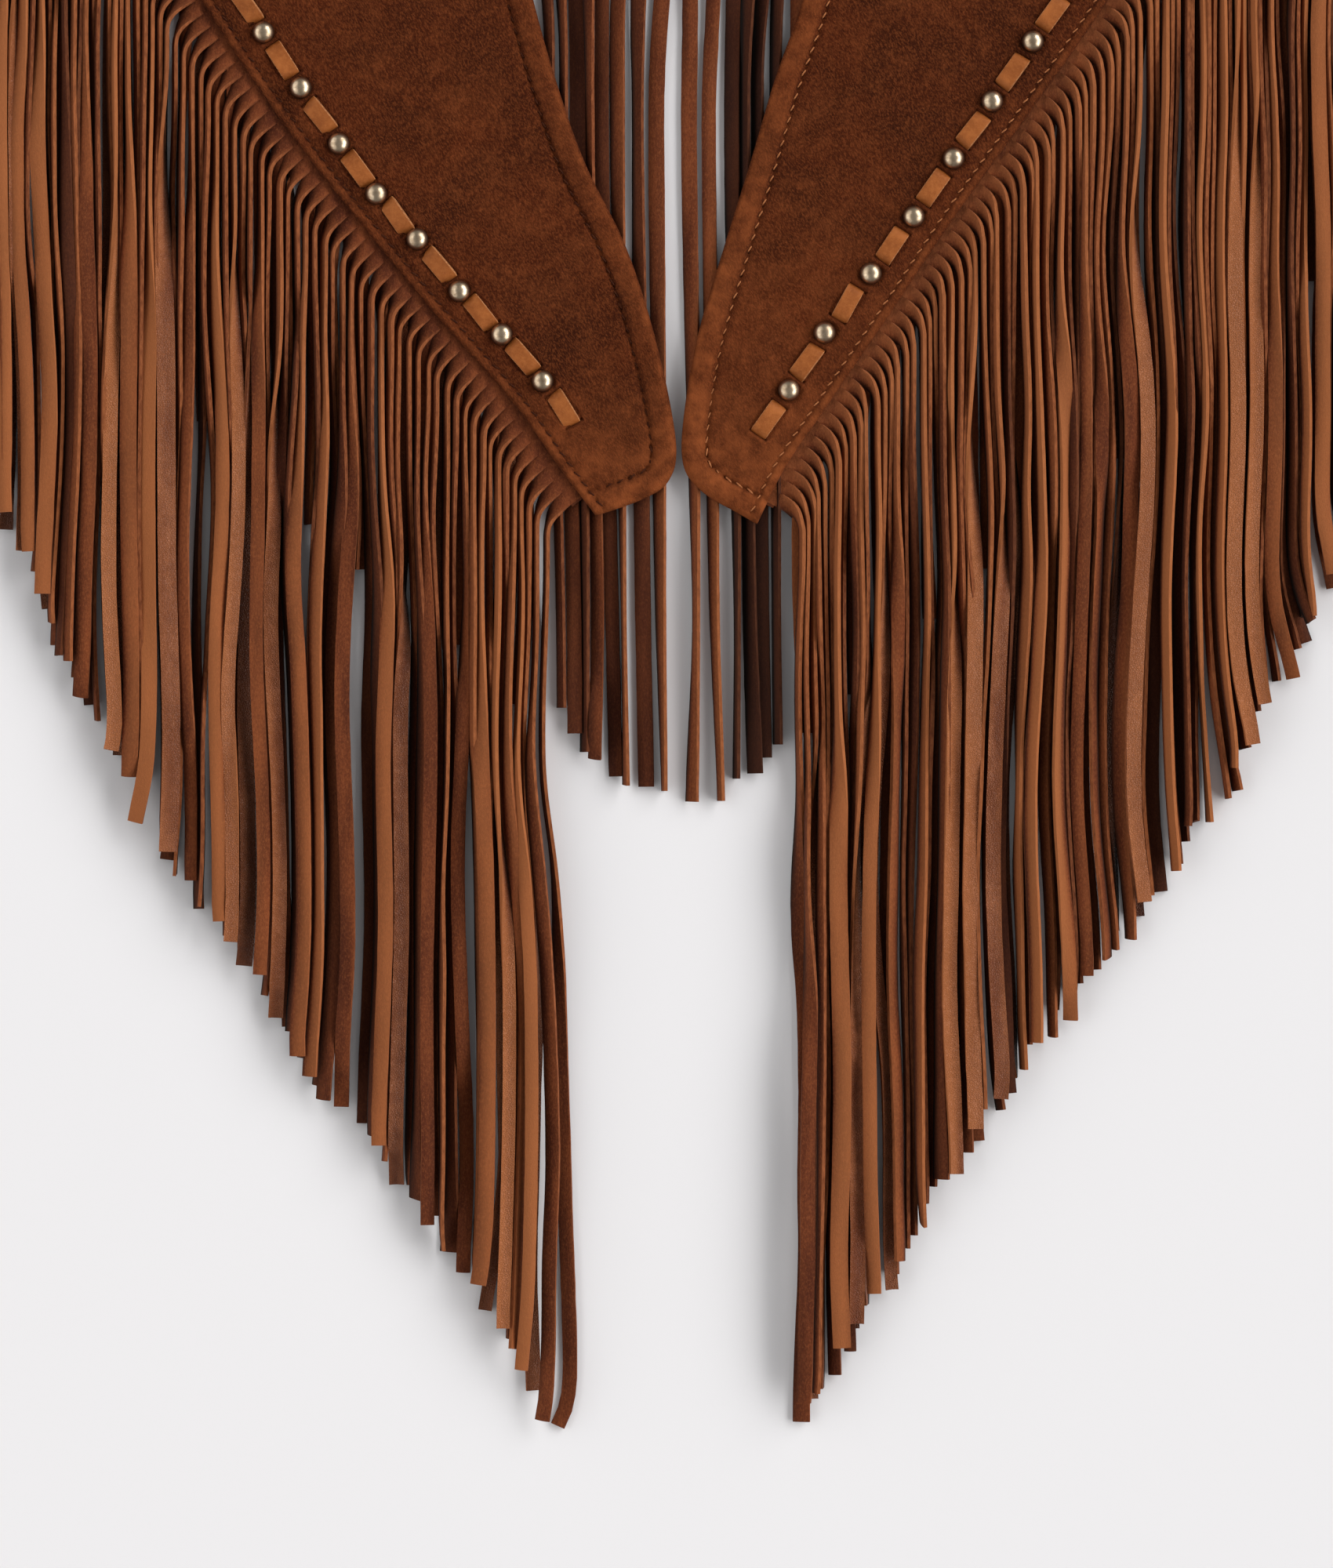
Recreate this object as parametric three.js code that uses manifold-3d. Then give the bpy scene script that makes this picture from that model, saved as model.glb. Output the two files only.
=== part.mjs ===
// A suede cape with long fringe, metal studs and leather lacing, laid flat on its back.
// Millimetres, +X across, +Y towards the shoulders, +Z up from the surface that it lies on.
import * as THREE from "three";
import Module from "manifold-3d";
import { mergeVertices } from "three/addons/utils/BufferGeometryUtils.js";

const wasm = await Module();
wasm.setup();

// Overall sizes
const HALF_LENGTH = 365;
const HALF_WIDTH = 257;
const NECK_POINT = { out: 90, up: HALF_LENGTH };
const SHOULDER_TIP = { out: 237.5, up: 315 };
const NECK_DROP = 20;

// Heights above the surface: each layer lies 0.3 above the one below
const SEAM_GAP = 0.3;
const BACK_WALL = { low: 0, high: 1.4 };
const BACK_STRIP = { low: 1.7, high: 2.8 };
const FRONT_STRIP = { low: 3.1, high: 4.2 };
const FRONT_WALL = { low: 4.5, high: 6 };

// Each panel's shoulder edge turns towards the other panel's in a half roll
const ROLL_RADIUS = FRONT_WALL.high / 2;
const ROLL_SHORT = 2;
const ROLL_STEPS = 6;
const ROLL_OVERLAP = 1;
const SHOULDER_CUTTER = { along: 400, out: 60, low: -10, high: 20 };

// Turned edges of the fronts: highest at the crest and sunk into the panel at the foot
const BAND = { width: 8, rise: 0.5, crest: 1.2, foot: 0.3, sunk: 0.1 };
const NECK_STEPS = 8;

// Fringe: each strand's section, and how close two strands may hang
const STRAND_WIDTH = 5;
const STRAND_THICK = 1;
const STRAND_CLEAR = 0.4;
const STRAND_SKIN = 0.05;
const CLOSEST_RUNS = 1.9;
const TIP_ABOVE_FLOOR = 0.35;
const STRANDS = { left: 67, right: 67, back: 46 };

// The strips that the strands are cut from: under the hem, and below it as far as the slits' ends
const STRIP_REACH = 7;
const STRIP_START = 7;
const HALVES_OVERLAP = 1;
const UNCUT = {
  left: { least: 1.5, atTip: 5, over: 70 },
  right: { least: 1.2, atTip: 1.5, over: 40 },
  back: { least: 1, atTip: 0, over: 70 },
};
const SLIT_CLEAR = 0.5;

// Where the strands leave the hem, how they bend down and how long they hang
const FIRST_ROOT = 10;
const LAST_ROOT = 8;
const ROOT_REACH = 4;
const LEAVES_STRAIGHT = { left: 4.5, right: 2, back: 4 };
const BEND_RADIUS = { left: 9, right: 12, back: 9 };
const BEND_SHARE = 0.6;
const MID_BEND_TILT = 0.6;
const SHOULDER_SPREAD = { most: 9, from: 0.6 };
const NEIGHBOURS = 4;
const STRAND_DROP = {
  left: { atTip: 302, above: 275, over: 170 },
  right: { atTip: 292, above: 297, over: 30 },
};
const BACK_DROP = 295;
const BACK_SETTLES = 4;
const FREE_END = 100;
const UNEVEN = { most: 3, step: 2.4 };

// Lace and studs
const LACE_WIDTH = 5.5;
const LACE_THICK = 1;
const LACE_SHOWS = 10.5;
const LACE_TAIL = 7;
const SLOT_PLAY = 0.35;
const SLOT_OVERRUN = 1;
const STUD = { radius: 3.5, height: 3.4, sides: 8, shoulder: { out: 0.74, up: 0.72 } };

// Each row of studs from the point up: the distance along the hem and inside it, then an even pitch
const STUD_ROW = {
  left: {
    set: [
      { along: 44, inside: 11.6 },
      { along: 63, inside: 11.5 },
      { along: 82.5, inside: 10.6 },
      { along: 104, inside: 10.9 },
      { along: 123.5, inside: 9.8 },
      { along: 143.5, inside: 10.3 },
      { along: 165.5, inside: 11.1 },
      { along: 187, inside: 11.2 },
    ],
    pitch: 20.4,
    count: 19,
  },
  right: {
    set: [
      { along: 41, inside: 12.8 },
      { along: 62.5, inside: 13.8 },
      { along: 86.5, inside: 12.2 },
      { along: 109, inside: 10.8 },
      { along: 131, inside: 11.1 },
      { along: 153, inside: 11.8 },
      { along: 176, inside: 12.3 },
    ],
    pitch: 22.5,
    count: 18,
  },
};

// Each front's hem from the shoulder to its point: distance out from the centre at a height up
const HEM = [
  { up: 315, left: 237.5, right: 237.5 },
  { up: 250, left: 224, right: 220 },
  { up: 180, left: 197, right: 186.5 },
  { up: 120, left: 169, right: 156 },
  { up: 87, left: 150.3, right: 135.2 },
  { up: 50, left: 125.6, right: 109.3 },
  { up: 20, left: 102.5, right: 87.7 },
  { up: -10, left: 77.9, right: 67.7 },
  { up: -40, left: 51.6, right: 47.2 },
  { up: -60, left: 37.4, right: 33.7 },
];
const HEM_END = { left: { out: 26.2, up: -74.8 }, right: { out: 25, up: -77.5 } };

// Each front's inner edge from the neck down
const EDGE = [
  { up: 365, left: 90, right: 90 },
  { up: 320, left: 86, right: 86 },
  { up: 252, left: 79, right: 78 },
  { up: 165, left: 64, right: 60 },
  { up: 90, left: 46.3, right: 39.8 },
  { up: 64, left: 39, right: 30.7 },
  { up: 38, left: 29.9, right: 23 },
  { up: 10.6, left: 16.6, right: 14.5 },
  { up: -19, left: 7.1, right: 5.8 },
  { up: -46, left: 1.4, right: 1.4 },
];

// Each front's bottom edge, from the inner edge to the point
const BOTTOM = {
  left: [
    { out: 0.6, up: -55 },
    { out: 1.5, up: -60.5 },
    { out: 4.6, up: -65.6 },
    { out: 10.8, up: -69.3 },
    { out: 18.6, up: -72.3 },
  ],
  right: [
    { out: 1.1, up: -55.5 },
    { out: 2.4, up: -61 },
    { out: 5.5, up: -65.2 },
    { out: 10.5, up: -69.3 },
    { out: 18, up: -73.4 },
  ],
};

// The back's hem from its middle to the shoulder
const BACK_HEM = [
  { out: 0, up: 126.5 },
  { out: 10, up: 129 },
  { out: 50, up: 162.5 },
  { out: 101, up: 207.5 },
  { out: 137, up: 240 },
  { out: 175, up: 275 },
  { out: 212.5, up: 302.5 },
  SHOULDER_TIP,
];

// Points to each row of a table, and stretches to each strip
const HEM_DETAIL = 3;
const EDGE_DETAIL = 2;
const LENGTH_DETAIL = 90;
const STRIP_STEPS = 26;

const suede = new THREE.MeshStandardMaterial({ color: 0x572a14, roughness: 0.95, metalness: 0 });
const fringeSuede = new THREE.MeshStandardMaterial({ color: 0x6a3c24, roughness: 0.9, metalness: 0 });
const laceLeather = new THREE.MeshStandardMaterial({ color: 0xb06c3c, roughness: 0.7, metalness: 0 });
const studMetal = new THREE.MeshStandardMaterial({ color: 0xb9b2a4, roughness: 0.3, metalness: 1 });

const vec = (x, y, z) => new THREE.Vector3(x, y, z);

// Curves in plan, drawn on the +X side; the left side is mirrored when it is placed
function smooth(rows) {
  const places = rows.map(({ out, up }) => vec(out, up, 0));
  const curve = new THREE.CatmullRomCurve3(places, false, "centripetal");
  curve.arcLengthDivisions = LENGTH_DETAIL * (rows.length - 1);
  return curve;
}

const sideRows = (table, side) => table.map((row) => ({ out: row[side], up: row.up }));

function hemOf(side) {
  return smooth([HEM_END[side], ...sideRows(HEM, side).reverse()]);
}

function edgeOf(side) {
  return smooth([...sideRows(EDGE, side), ...BOTTOM[side], HEM_END[side]]);
}

// The back's hem crosses the centre, so its curve starts two rows before its middle
const MIRRORED_ROWS = 2;
function backHem() {
  const before = BACK_HEM.slice(1, 1 + MIRRORED_ROWS).reverse();
  return smooth([...before.map(({ out, up }) => ({ out: -out, up })), ...BACK_HEM]);
}

// Places and directions at a distance along a curve
function measured(curve, skippedRows = 0) {
  const skipped = curve.getLengths()[LENGTH_DETAIL * skippedRows];
  const total = curve.getLength();
  const at = (distance) => {
    const share = THREE.MathUtils.clamp((distance + skipped) / total, 0, 1);
    return pointOn(curve.getPointAt(share), curve.getTangentAt(share));
  };
  return { at, length: total - skipped };
}

function pointOn(place, along) {
  return { place, along, outward: vec(along.y, -along.x, 0) };
}

// Points along a curve, closer together where its rows are
function traced(curve, detail, skippedRows = 0) {
  const rows = curve.points.length - 1;
  const steps = detail * (rows - skippedRows);
  return Array.from({ length: steps + 1 }, (_, i) => {
    const share = (skippedRows + i / detail) / rows;
    return pointOn(curve.getPoint(share), curve.getTangent(share));
  });
}

const HEMS = {
  left: measured(hemOf("left")),
  right: measured(hemOf("right")),
  back: measured(backHem(), MIRRORED_ROWS),
};

// Closed meshes
function loft(section, rings) {
  const count = section.length;
  const faces = [];
  const last = (rings.length - 1) * count;
  const clockwise = THREE.ShapeUtils.isClockWise(section);
  for (const [a, b, c] of THREE.ShapeUtils.triangulateShape(section, [])) {
    const [u, v] = clockwise ? [c, b] : [b, c];
    faces.push(a, v, u, last + a, last + u, last + v);
  }
  for (let r = 0; r + 1 < rings.length; r += 1) {
    for (let i = 0; i < count; i += 1) {
      const a = r * count + i;
      const b = r * count + ((i + 1) % count);
      faces.push(a, b, b + count, a, b + count, a + count);
    }
  }
  const geometry = new THREE.BufferGeometry().setFromPoints(rings.flat());
  geometry.setIndex(faces);
  return facingOut(geometry);
}

function facingOut(geometry) {
  const position = geometry.getAttribute("position");
  const index = geometry.getIndex().array;
  const corner = (i) => new THREE.Vector3().fromBufferAttribute(position, i);
  let volume = 0;
  for (let i = 0; i < index.length; i += 3) {
    volume += corner(index[i]).dot(corner(index[i + 1]).cross(corner(index[i + 2])));
  }
  if (volume < 0) {
    for (let i = 0; i < index.length; i += 3) {
      [index[i + 1], index[i + 2]] = [index[i + 2], index[i + 1]];
    }
  }
  return geometry;
}

function slab(outline, { low, high }) {
  const shape = new THREE.Shape(outline.map(({ x, y }) => new THREE.Vector2(x, y)));
  const geometry = new THREE.ExtrudeGeometry(shape, { depth: high - low, bevelEnabled: false });
  return geometry.translate(0, 0, low);
}

function solidOf(geometry) {
  const bare = geometry.clone();
  bare.deleteAttribute("normal");
  bare.deleteAttribute("uv");
  const merged = mergeVertices(bare, 1e-4);
  return new wasm.Manifold(
    new wasm.Mesh({
      numProp: 3,
      vertProperties: new Float32Array(merged.getAttribute("position").array),
      triVerts: new Uint32Array(merged.getIndex().array),
    }),
  );
}

function geometryOf(solid) {
  const { vertProperties, triVerts } = solid.getMesh();
  const geometry = new THREE.BufferGeometry();
  geometry.setAttribute("position", new THREE.BufferAttribute(vertProperties, 3));
  geometry.setIndex(new THREE.BufferAttribute(triVerts, 1));
  return geometry;
}

// The left side's geometry is the mirror of what is drawn at +X
function mirrored(geometry) {
  const index = geometry.getIndex().array;
  geometry.scale(-1, 1, 1);
  for (let i = 0; i < index.length; i += 3) {
    [index[i + 1], index[i + 2]] = [index[i + 2], index[i + 1]];
  }
  return geometry;
}

// The shoulder line, and the roll in which a panel's edge turns to meet the other panel's
const SHOULDER_ALONG = vec(
  SHOULDER_TIP.out - NECK_POINT.out,
  SHOULDER_TIP.up - NECK_POINT.up,
  0,
).normalize();
const SHOULDER_OUT = vec(-SHOULDER_ALONG.y, SHOULDER_ALONG.x, 0);

function beyondShoulder(reach) {
  const start = vec(NECK_POINT.out, NECK_POINT.up, 0).addScaledVector(SHOULDER_OUT, -reach);
  const { along: far, out: deep } = SHOULDER_CUTTER;
  const corner = (along, out) =>
    start.clone().addScaledVector(SHOULDER_ALONG, along).addScaledVector(SHOULDER_OUT, out);
  const outline = [corner(-far, 0), corner(far, 0), corner(far, deep), corner(-far, deep)];
  return solidOf(slab(outline, SHOULDER_CUTTER));
}

function shoulderRoll(wall) {
  const thick = wall.high - wall.low;
  const upward = wall.low === 0;
  const arc = (radius) =>
    Array.from({ length: ROLL_STEPS + 1 }, (_, i) => {
      const turn = (Math.acos(SEAM_GAP / 2 / radius) * i) / ROLL_STEPS;
      const rise = radius * Math.cos(turn);
      const height = upward ? ROLL_RADIUS - rise : ROLL_RADIUS + rise;
      return new THREE.Vector2(radius * Math.sin(turn), height);
    });
  const outer = arc(ROLL_RADIUS);
  const inner = arc(ROLL_RADIUS - thick).reverse();
  const tucked = inner.at(-1).clone().setX(-ROLL_OVERLAP);
  const flush = outer[0].clone().setX(-ROLL_OVERLAP);
  const section = [flush, ...outer, ...inner, tucked];
  const neck = vec(NECK_POINT.out, NECK_POINT.up, 0).addScaledVector(SHOULDER_OUT, -ROLL_RADIUS);
  const tip = vec(SHOULDER_TIP.out, SHOULDER_TIP.up, 0)
    .addScaledVector(SHOULDER_OUT, -ROLL_RADIUS)
    .addScaledVector(SHOULDER_ALONG, -ROLL_SHORT);
  const ring = (end) =>
    section.map(({ x, y }) => end.clone().addScaledVector(SHOULDER_OUT, x).setZ(y));
  return solidOf(loft(section, [ring(neck), ring(tip)]));
}

// Panels
function frontOutline(side) {
  const hem = traced(hemOf(side), HEM_DETAIL);
  const edge = traced(edgeOf(side), EDGE_DETAIL);
  return [...hem, ...edge.slice(0, -1)].map(({ place }) => place);
}

// The turned inner and bottom edges stand a little proud of the panel
function band(side) {
  const section = [
    new THREE.Vector2(BAND.foot, FRONT_WALL.low + BAND.foot),
    new THREE.Vector2(BAND.width, FRONT_WALL.high - BAND.sunk),
    new THREE.Vector2(BAND.crest, FRONT_WALL.high + BAND.rise),
    new THREE.Vector2(0, FRONT_WALL.high - BAND.foot),
  ];
  const rings = traced(edgeOf(side), EDGE_DETAIL).map(({ place, outward }) =>
    section.map(({ x, y }) => place.clone().addScaledVector(outward, -x).setZ(y)));
  return solidOf(loft(section, rings));
}

// Places in the row: a stud's, or halfway between two for a length of lace
function studAt(side, index) {
  const { set, pitch } = STUD_ROW[side];
  const known = set[THREE.MathUtils.clamp(index, 0, set.length - 1)];
  const extra = index - THREE.MathUtils.clamp(index, 0, set.length - 1);
  return { along: known.along + extra * pitch, inside: known.inside };
}

function rowPlace(side, { along, inside }) {
  const point = HEMS[side].at(along);
  return { ...point, place: point.place.clone().addScaledVector(point.outward, -inside) };
}

function lacePlaces(side) {
  const indices = Array.from({ length: STUD_ROW[side].count + 1 }, (_, i) => i);
  return indices.map((i) => {
    const [low, high] = [studAt(side, i - 1), studAt(side, i)];
    const middle = { along: (low.along + high.along) / 2, inside: (low.inside + high.inside) / 2 };
    return rowPlace(side, middle);
  });
}

function slots(side) {
  const halfAcross = LACE_WIDTH / 2 + SLOT_PLAY;
  const halfWide = LACE_THICK / 2 + SLOT_PLAY;
  const depth = { low: FRONT_WALL.low - SLOT_OVERRUN, high: FRONT_WALL.high + SLOT_OVERRUN };
  const cuts = [];
  for (const { place, along, outward } of lacePlaces(side)) {
    for (const end of [-1, 1]) {
      const middle = place.clone().addScaledVector(along, (end * (LACE_SHOWS - LACE_THICK)) / 2);
      const corner = (a, o) =>
        middle.clone().addScaledVector(along, a * halfWide).addScaledVector(outward, o * halfAcross);
      const outline = [corner(-1, -1), corner(-1, 1), corner(1, 1), corner(1, -1)];
      cuts.push(solidOf(slab(outline, depth)));
    }
  }
  return joined(cuts);
}

function frontPanel(side) {
  const plate = solidOf(slab(frontOutline(side), FRONT_WALL));
  const withBand = plate.add(band(side));
  const whole = withBand.subtract(beyondShoulder(ROLL_RADIUS)).add(shoulderRoll(FRONT_WALL));
  return geometryOf(whole.subtract(slots(side)));
}

function backOutline() {
  const half = traced(backHem(), EDGE_DETAIL, MIRRORED_ROWS).map(({ place }) => place);
  const neck = Array.from({ length: NECK_STEPS }, (_, i) => {
    const out = (NECK_POINT.out * (NECK_STEPS - i)) / NECK_STEPS;
    return vec(out, HALF_LENGTH - NECK_DROP + NECK_DROP * (out / NECK_POINT.out) ** 2, 0);
  });
  const right = [...half, ...neck];
  const middle = vec(0, HALF_LENGTH - NECK_DROP, 0);
  const left = right.slice(1).reverse().map(({ x, y }) => vec(-x, y, 0));
  return [...right, middle, ...left];
}

function backPanel() {
  const cutter = beyondShoulder(ROLL_RADIUS);
  const roll = shoulderRoll(BACK_WALL);
  const plate = solidOf(slab(backOutline(), BACK_WALL));
  const flip = (solid) => solidOf(mirrored(geometryOf(solid)));
  return geometryOf(plate.subtract(cutter).subtract(flip(cutter)).add(roll).add(flip(roll)));
}

// Fringe: a strip along the hem, and strands that leave it squarely, turn on edge and hang down
function uncutBelow(distance, kind) {
  const { least, atTip, over } = UNCUT[kind];
  return least + atTip * Math.max(0, 1 - distance / over);
}

function strip(kind, { low, high }, start) {
  const hem = HEMS[kind];
  const end = hem.length - ROLL_RADIUS - SEAM_GAP;
  const section = [[0, 0], [1, 0], [1, 1], [0, 1]].map(([x, y]) => new THREE.Vector2(x, y));
  const rings = Array.from({ length: STRIP_STEPS + 1 }, (_, i) => {
    const distance = start + ((end - start) * i) / STRIP_STEPS;
    const { place, outward } = hem.at(distance);
    const out = uncutBelow(distance, kind);
    return section.map(({ x, y }) =>
      place.clone().addScaledVector(outward, x ? out : -STRIP_REACH).setZ(y ? high : low));
  });
  return solidOf(loft(section, rings));
}

const SECTION = [[-1, -1], [1, -1], [1, 1], [-1, 1]].map(([x, y]) => new THREE.Vector2(x, y));

// A ring of the strand's section, its outer edge tilted up and its lowest corner at low
function strandRing({ place, heading, tilt, low }) {
  const outerSide = vec(-heading.y, heading.x, 0);
  const middle = low + (STRAND_WIDTH * Math.sin(tilt) + STRAND_THICK * Math.cos(tilt)) / 2;
  return SECTION.map(({ x, y }) => {
    const w = (x * STRAND_WIDTH) / 2;
    const t = (y * STRAND_THICK) / 2;
    const side = w * Math.cos(tilt) - t * Math.sin(tilt);
    const rise = w * Math.sin(tilt) + t * Math.cos(tilt);
    return place.clone().addScaledVector(outerSide, side).setZ(middle + rise);
  });
}

// Where each strand of a fringe leaves the hem and how far out it hangs, from the hem's point up
function strandPlan(kind) {
  const hem = HEMS[kind];
  const count = STRANDS[kind];
  const first = kind === "back" ? (hem.length - LAST_ROOT) / (2 * count - 1) : FIRST_ROOT;
  const pitch = (hem.length - LAST_ROOT - first) / (count - 1);
  const onEdge = tiltFor(CLOSEST_RUNS);
  const halfSpan = (STRAND_WIDTH * Math.cos(onEdge) + STRAND_THICK * Math.sin(onEdge)) / 2;
  const plan = Array.from({ length: count }, (_, index) => {
    const distance = first + pitch * index;
    const root = hem.at(distance);
    const turn = Math.atan2(root.along.y, root.along.x);
    const straight = straightFor(kind, distance);
    const bend = BEND_RADIUS[kind] * (1 - Math.cos(turn));
    const runOut = root.place.x + straight * Math.sin(turn) + bend + spread(kind, distance);
    return { index, distance, root, turn, runOut };
  });
  if (kind !== "back") {
    plan[count - 1].runOut = HALF_WIDTH - halfSpan;
    for (let i = count - 2; i >= 0; i -= 1) {
      plan[i].runOut = Math.min(plan[i].runOut, plan[i + 1].runOut - CLOSEST_RUNS);
    }
  }
  return plan.map((item, i) => ({ ...item, runOut: evened(plan, i) }));
}

// Neighbouring strands hang evenly, so each place is the mean of those around it
function evened(plan, index) {
  const reach = Math.min(NEIGHBOURS, index, plan.length - 1 - index);
  const around = plan.slice(index - reach, index + reach + 1);
  return around.reduce((sum, { runOut }) => sum + runOut, 0) / around.length;
}

const straightFor = (kind, distance) =>
  Math.max(LEAVES_STRAIGHT[kind], uncutBelow(distance, kind) + SLIT_CLEAR);

// Towards the shoulder the fronts' hems stand nearly upright, so their strands spread further out
function spread(kind, distance) {
  const { most, from } = SHOULDER_SPREAD;
  const share = distance / HEMS[kind].length;
  return kind === "back" ? 0 : most * THREE.MathUtils.smoothstep(share, from, 1);
}

const tiltFor = (spacing) => Math.asin((STRAND_THICK + STRAND_CLEAR) / Math.max(spacing, CLOSEST_RUNS));

// The strand's tilt follows the mean distance to the strands on both sides
function tiltOf(plan, index) {
  const low = Math.max(index - NEIGHBOURS, 0);
  const high = Math.min(index + NEIGHBOURS, plan.length - 1);
  return tiltFor((plan[high].runOut - plan[low].runOut) / (high - low));
}

// The stations of one strand: its root, the start, middle and end of its bend, and its hanging end
function strandStations(kind, { index, distance, root, turn, runOut }, tilt) {
  const out = runOut - root.place.x;
  const curl = 1 - Math.cos(turn);
  const radius = Math.min(BEND_RADIUS[kind], (BEND_SHARE * out) / curl);
  const leaves = turn > 0 ? (out - radius * curl) / Math.sin(turn) : LEAVES_STRAIGHT[kind];
  const straight = Math.max(leaves, uncutBelow(distance, kind) + SLIT_CLEAR);
  const start = root.place.clone().addScaledVector(root.outward, straight);
  const onBend = (share) => {
    const left = turn * (1 - share);
    const sideways = radius * (Math.cos(left) - Math.cos(turn));
    const fall = radius * (Math.sin(turn) - Math.sin(left));
    const heading = vec(Math.sin(left), -Math.cos(left), 0);
    return { place: vec(start.x + sideways, start.y - fall, 0), heading };
  };
  const level = kind === "back" ? BACK_STRIP : FRONT_STRIP;
  const rest = level.low + STRAND_SKIN;
  const rooted = root.place.clone().addScaledVector(root.outward, -ROOT_REACH);
  const hangs = onBend(1);
  const uneven = UNEVEN.most * Math.sin(index * UNEVEN.step);
  const tipUp = Math.max(root.place.y - dropOf(kind, distance) + uneven, -HALF_LENGTH);
  const hanging = (up, low) => ({ ...hangs, place: vec(hangs.place.x, up, 0), tilt, low });
  const leaving = [
    { place: rooted, heading: root.outward, tilt: 0, low: rest },
    { place: start, heading: root.outward, tilt: 0, low: rest },
  ];
  const over = [
    { ...onBend(0.5), tilt: tilt * MID_BEND_TILT, low: rest },
    { ...hangs, tilt, low: rest },
    hanging(settlesAt(hangs.place.x, tipUp), rest),
  ];
  const settled = [hanging(hangs.place.y - BACK_SETTLES, TIP_ABOVE_FLOOR)];
  return [...leaving, ...(kind === "back" ? settled : over), hanging(tipUp, TIP_ABOVE_FLOOR)];
}

function dropOf(kind, distance) {
  if (kind === "back") {
    return BACK_DROP;
  }
  const { atTip, above, over } = STRAND_DROP[kind];
  return THREE.MathUtils.lerp(atTip, above, Math.min(distance / over, 1));
}

// Where a front's strand starts to settle on the surface: past the end of the back's fringe under it
function settlesAt(out, tipUp) {
  if (out > PLANS.back.at(-1).runOut + STRAND_WIDTH) {
    return tipUp + FREE_END;
  }
  const away = (item) => Math.abs(item.runOut - out);
  const nearest = PLANS.back.reduce((best, item) => (away(item) < away(best) ? item : best));
  return nearest.root.place.y - BACK_DROP - 2 * UNEVEN.most;
}

function strandsOf(kind) {
  const plan = PLANS[kind];
  return plan.map((item) => {
    const stations = strandStations(kind, item, tiltOf(plan, item.index));
    return solidOf(loft(SECTION, stations.map(strandRing)));
  });
}

const joined = (solids) => solids.reduce((all, solid) => all.add(solid));

function frontFringe(side) {
  const whole = joined([strip(side, FRONT_STRIP, STRIP_START), ...strandsOf(side)]);
  return geometryOf(whole.subtract(beyondShoulder(ROLL_RADIUS + SEAM_GAP)));
}

function backFringe() {
  const half = joined([strip("back", BACK_STRIP, -HALVES_OVERLAP), ...strandsOf("back")]);
  const trimmed = half.subtract(beyondShoulder(ROLL_RADIUS + SEAM_GAP));
  return geometryOf(trimmed.add(solidOf(mirrored(geometryOf(trimmed)))));
}

const PLANS = { left: strandPlan("left"), right: strandPlan("right"), back: strandPlan("back") };

// Lace: one flat leather ribbon that comes up through a slit, shows, and goes down again
function lace(side) {
  const under = (FRONT_STRIP.low + FRONT_STRIP.high) / 2;
  const over = FRONT_WALL.high + SEAM_GAP + LACE_THICK / 2;
  const reach = (LACE_SHOWS - LACE_THICK) / 2;
  const stops = [];
  lacePlaces(side).forEach(({ place, along, outward }) => {
    const before = place.clone().addScaledVector(along, -reach);
    const after = place.clone().addScaledVector(along, reach);
    const corner = (spot, height, lean) => ({ place: spot.clone().setZ(height), along, outward, lean });
    stops.push(corner(before, under, 1), corner(before, over, 1));
    stops.push(corner(after, over, -1), corner(after, under, -1));
  });
  const tail = (stop, direction) => ({
    ...stop,
    place: stop.place.clone().addScaledVector(stop.along, direction * LACE_TAIL),
    lean: 0,
  });
  const path = [tail(stops[0], -1), ...stops, tail(stops.at(-1), 1)];
  return loft(SECTION, path.map(laceRing));
}

// At a corner the section leans by half the turn, so that the ribbon keeps its thickness
function laceRing({ place, along, outward, lean }) {
  const half = LACE_THICK / 2;
  return SECTION.map(({ x, y }) =>
    place
      .clone()
      .addScaledVector(outward, (x * LACE_WIDTH) / 2)
      .addScaledVector(along, -lean * y * half)
      .add(vec(0, 0, y * half)));
}

// Studs: a domed head seated on the panel between two lengths of lace
function stud() {
  const { radius, height, sides, shoulder } = STUD;
  const profile = [
    [0, 0],
    [radius, 0],
    [radius * shoulder.out, height * shoulder.up],
    [0, height],
  ];
  const lathe = new THREE.LatheGeometry(profile.map(([x, y]) => new THREE.Vector2(x, y)), sides);
  return lathe.rotateX(Math.PI / 2);
}

function studPlaces(side) {
  return Array.from({ length: STUD_ROW[side].count }, (_, i) => rowPlace(side, studAt(side, i)).place);
}

// The cape
const cape = new THREE.Group();

function add(name, geometry, material) {
  const mesh = new THREE.Mesh(geometry, material);
  mesh.name = name;
  cape.add(mesh);
  return mesh;
}

add("back", backPanel(), suede);
add("fringe_back", backFringe(), fringeSuede);
for (const side of ["left", "right"]) {
  const placed = side === "left" ? mirrored : (geometry) => geometry;
  add(`front_${side}`, placed(frontPanel(side)), suede);
  add(`fringe_${side}`, placed(frontFringe(side)), fringeSuede);
  add(`lace_${side}`, placed(lace(side)), laceLeather);
  studPlaces(side).forEach((place, i) => {
    const mesh = add(`stud_${side}_${String(i + 1).padStart(2, "0")}`, stud(), studMetal);
    mesh.position.set(side === "left" ? -place.x : place.x, place.y, FRONT_WALL.high + SEAM_GAP);
  });
}

export default cape;
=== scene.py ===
import math

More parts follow.
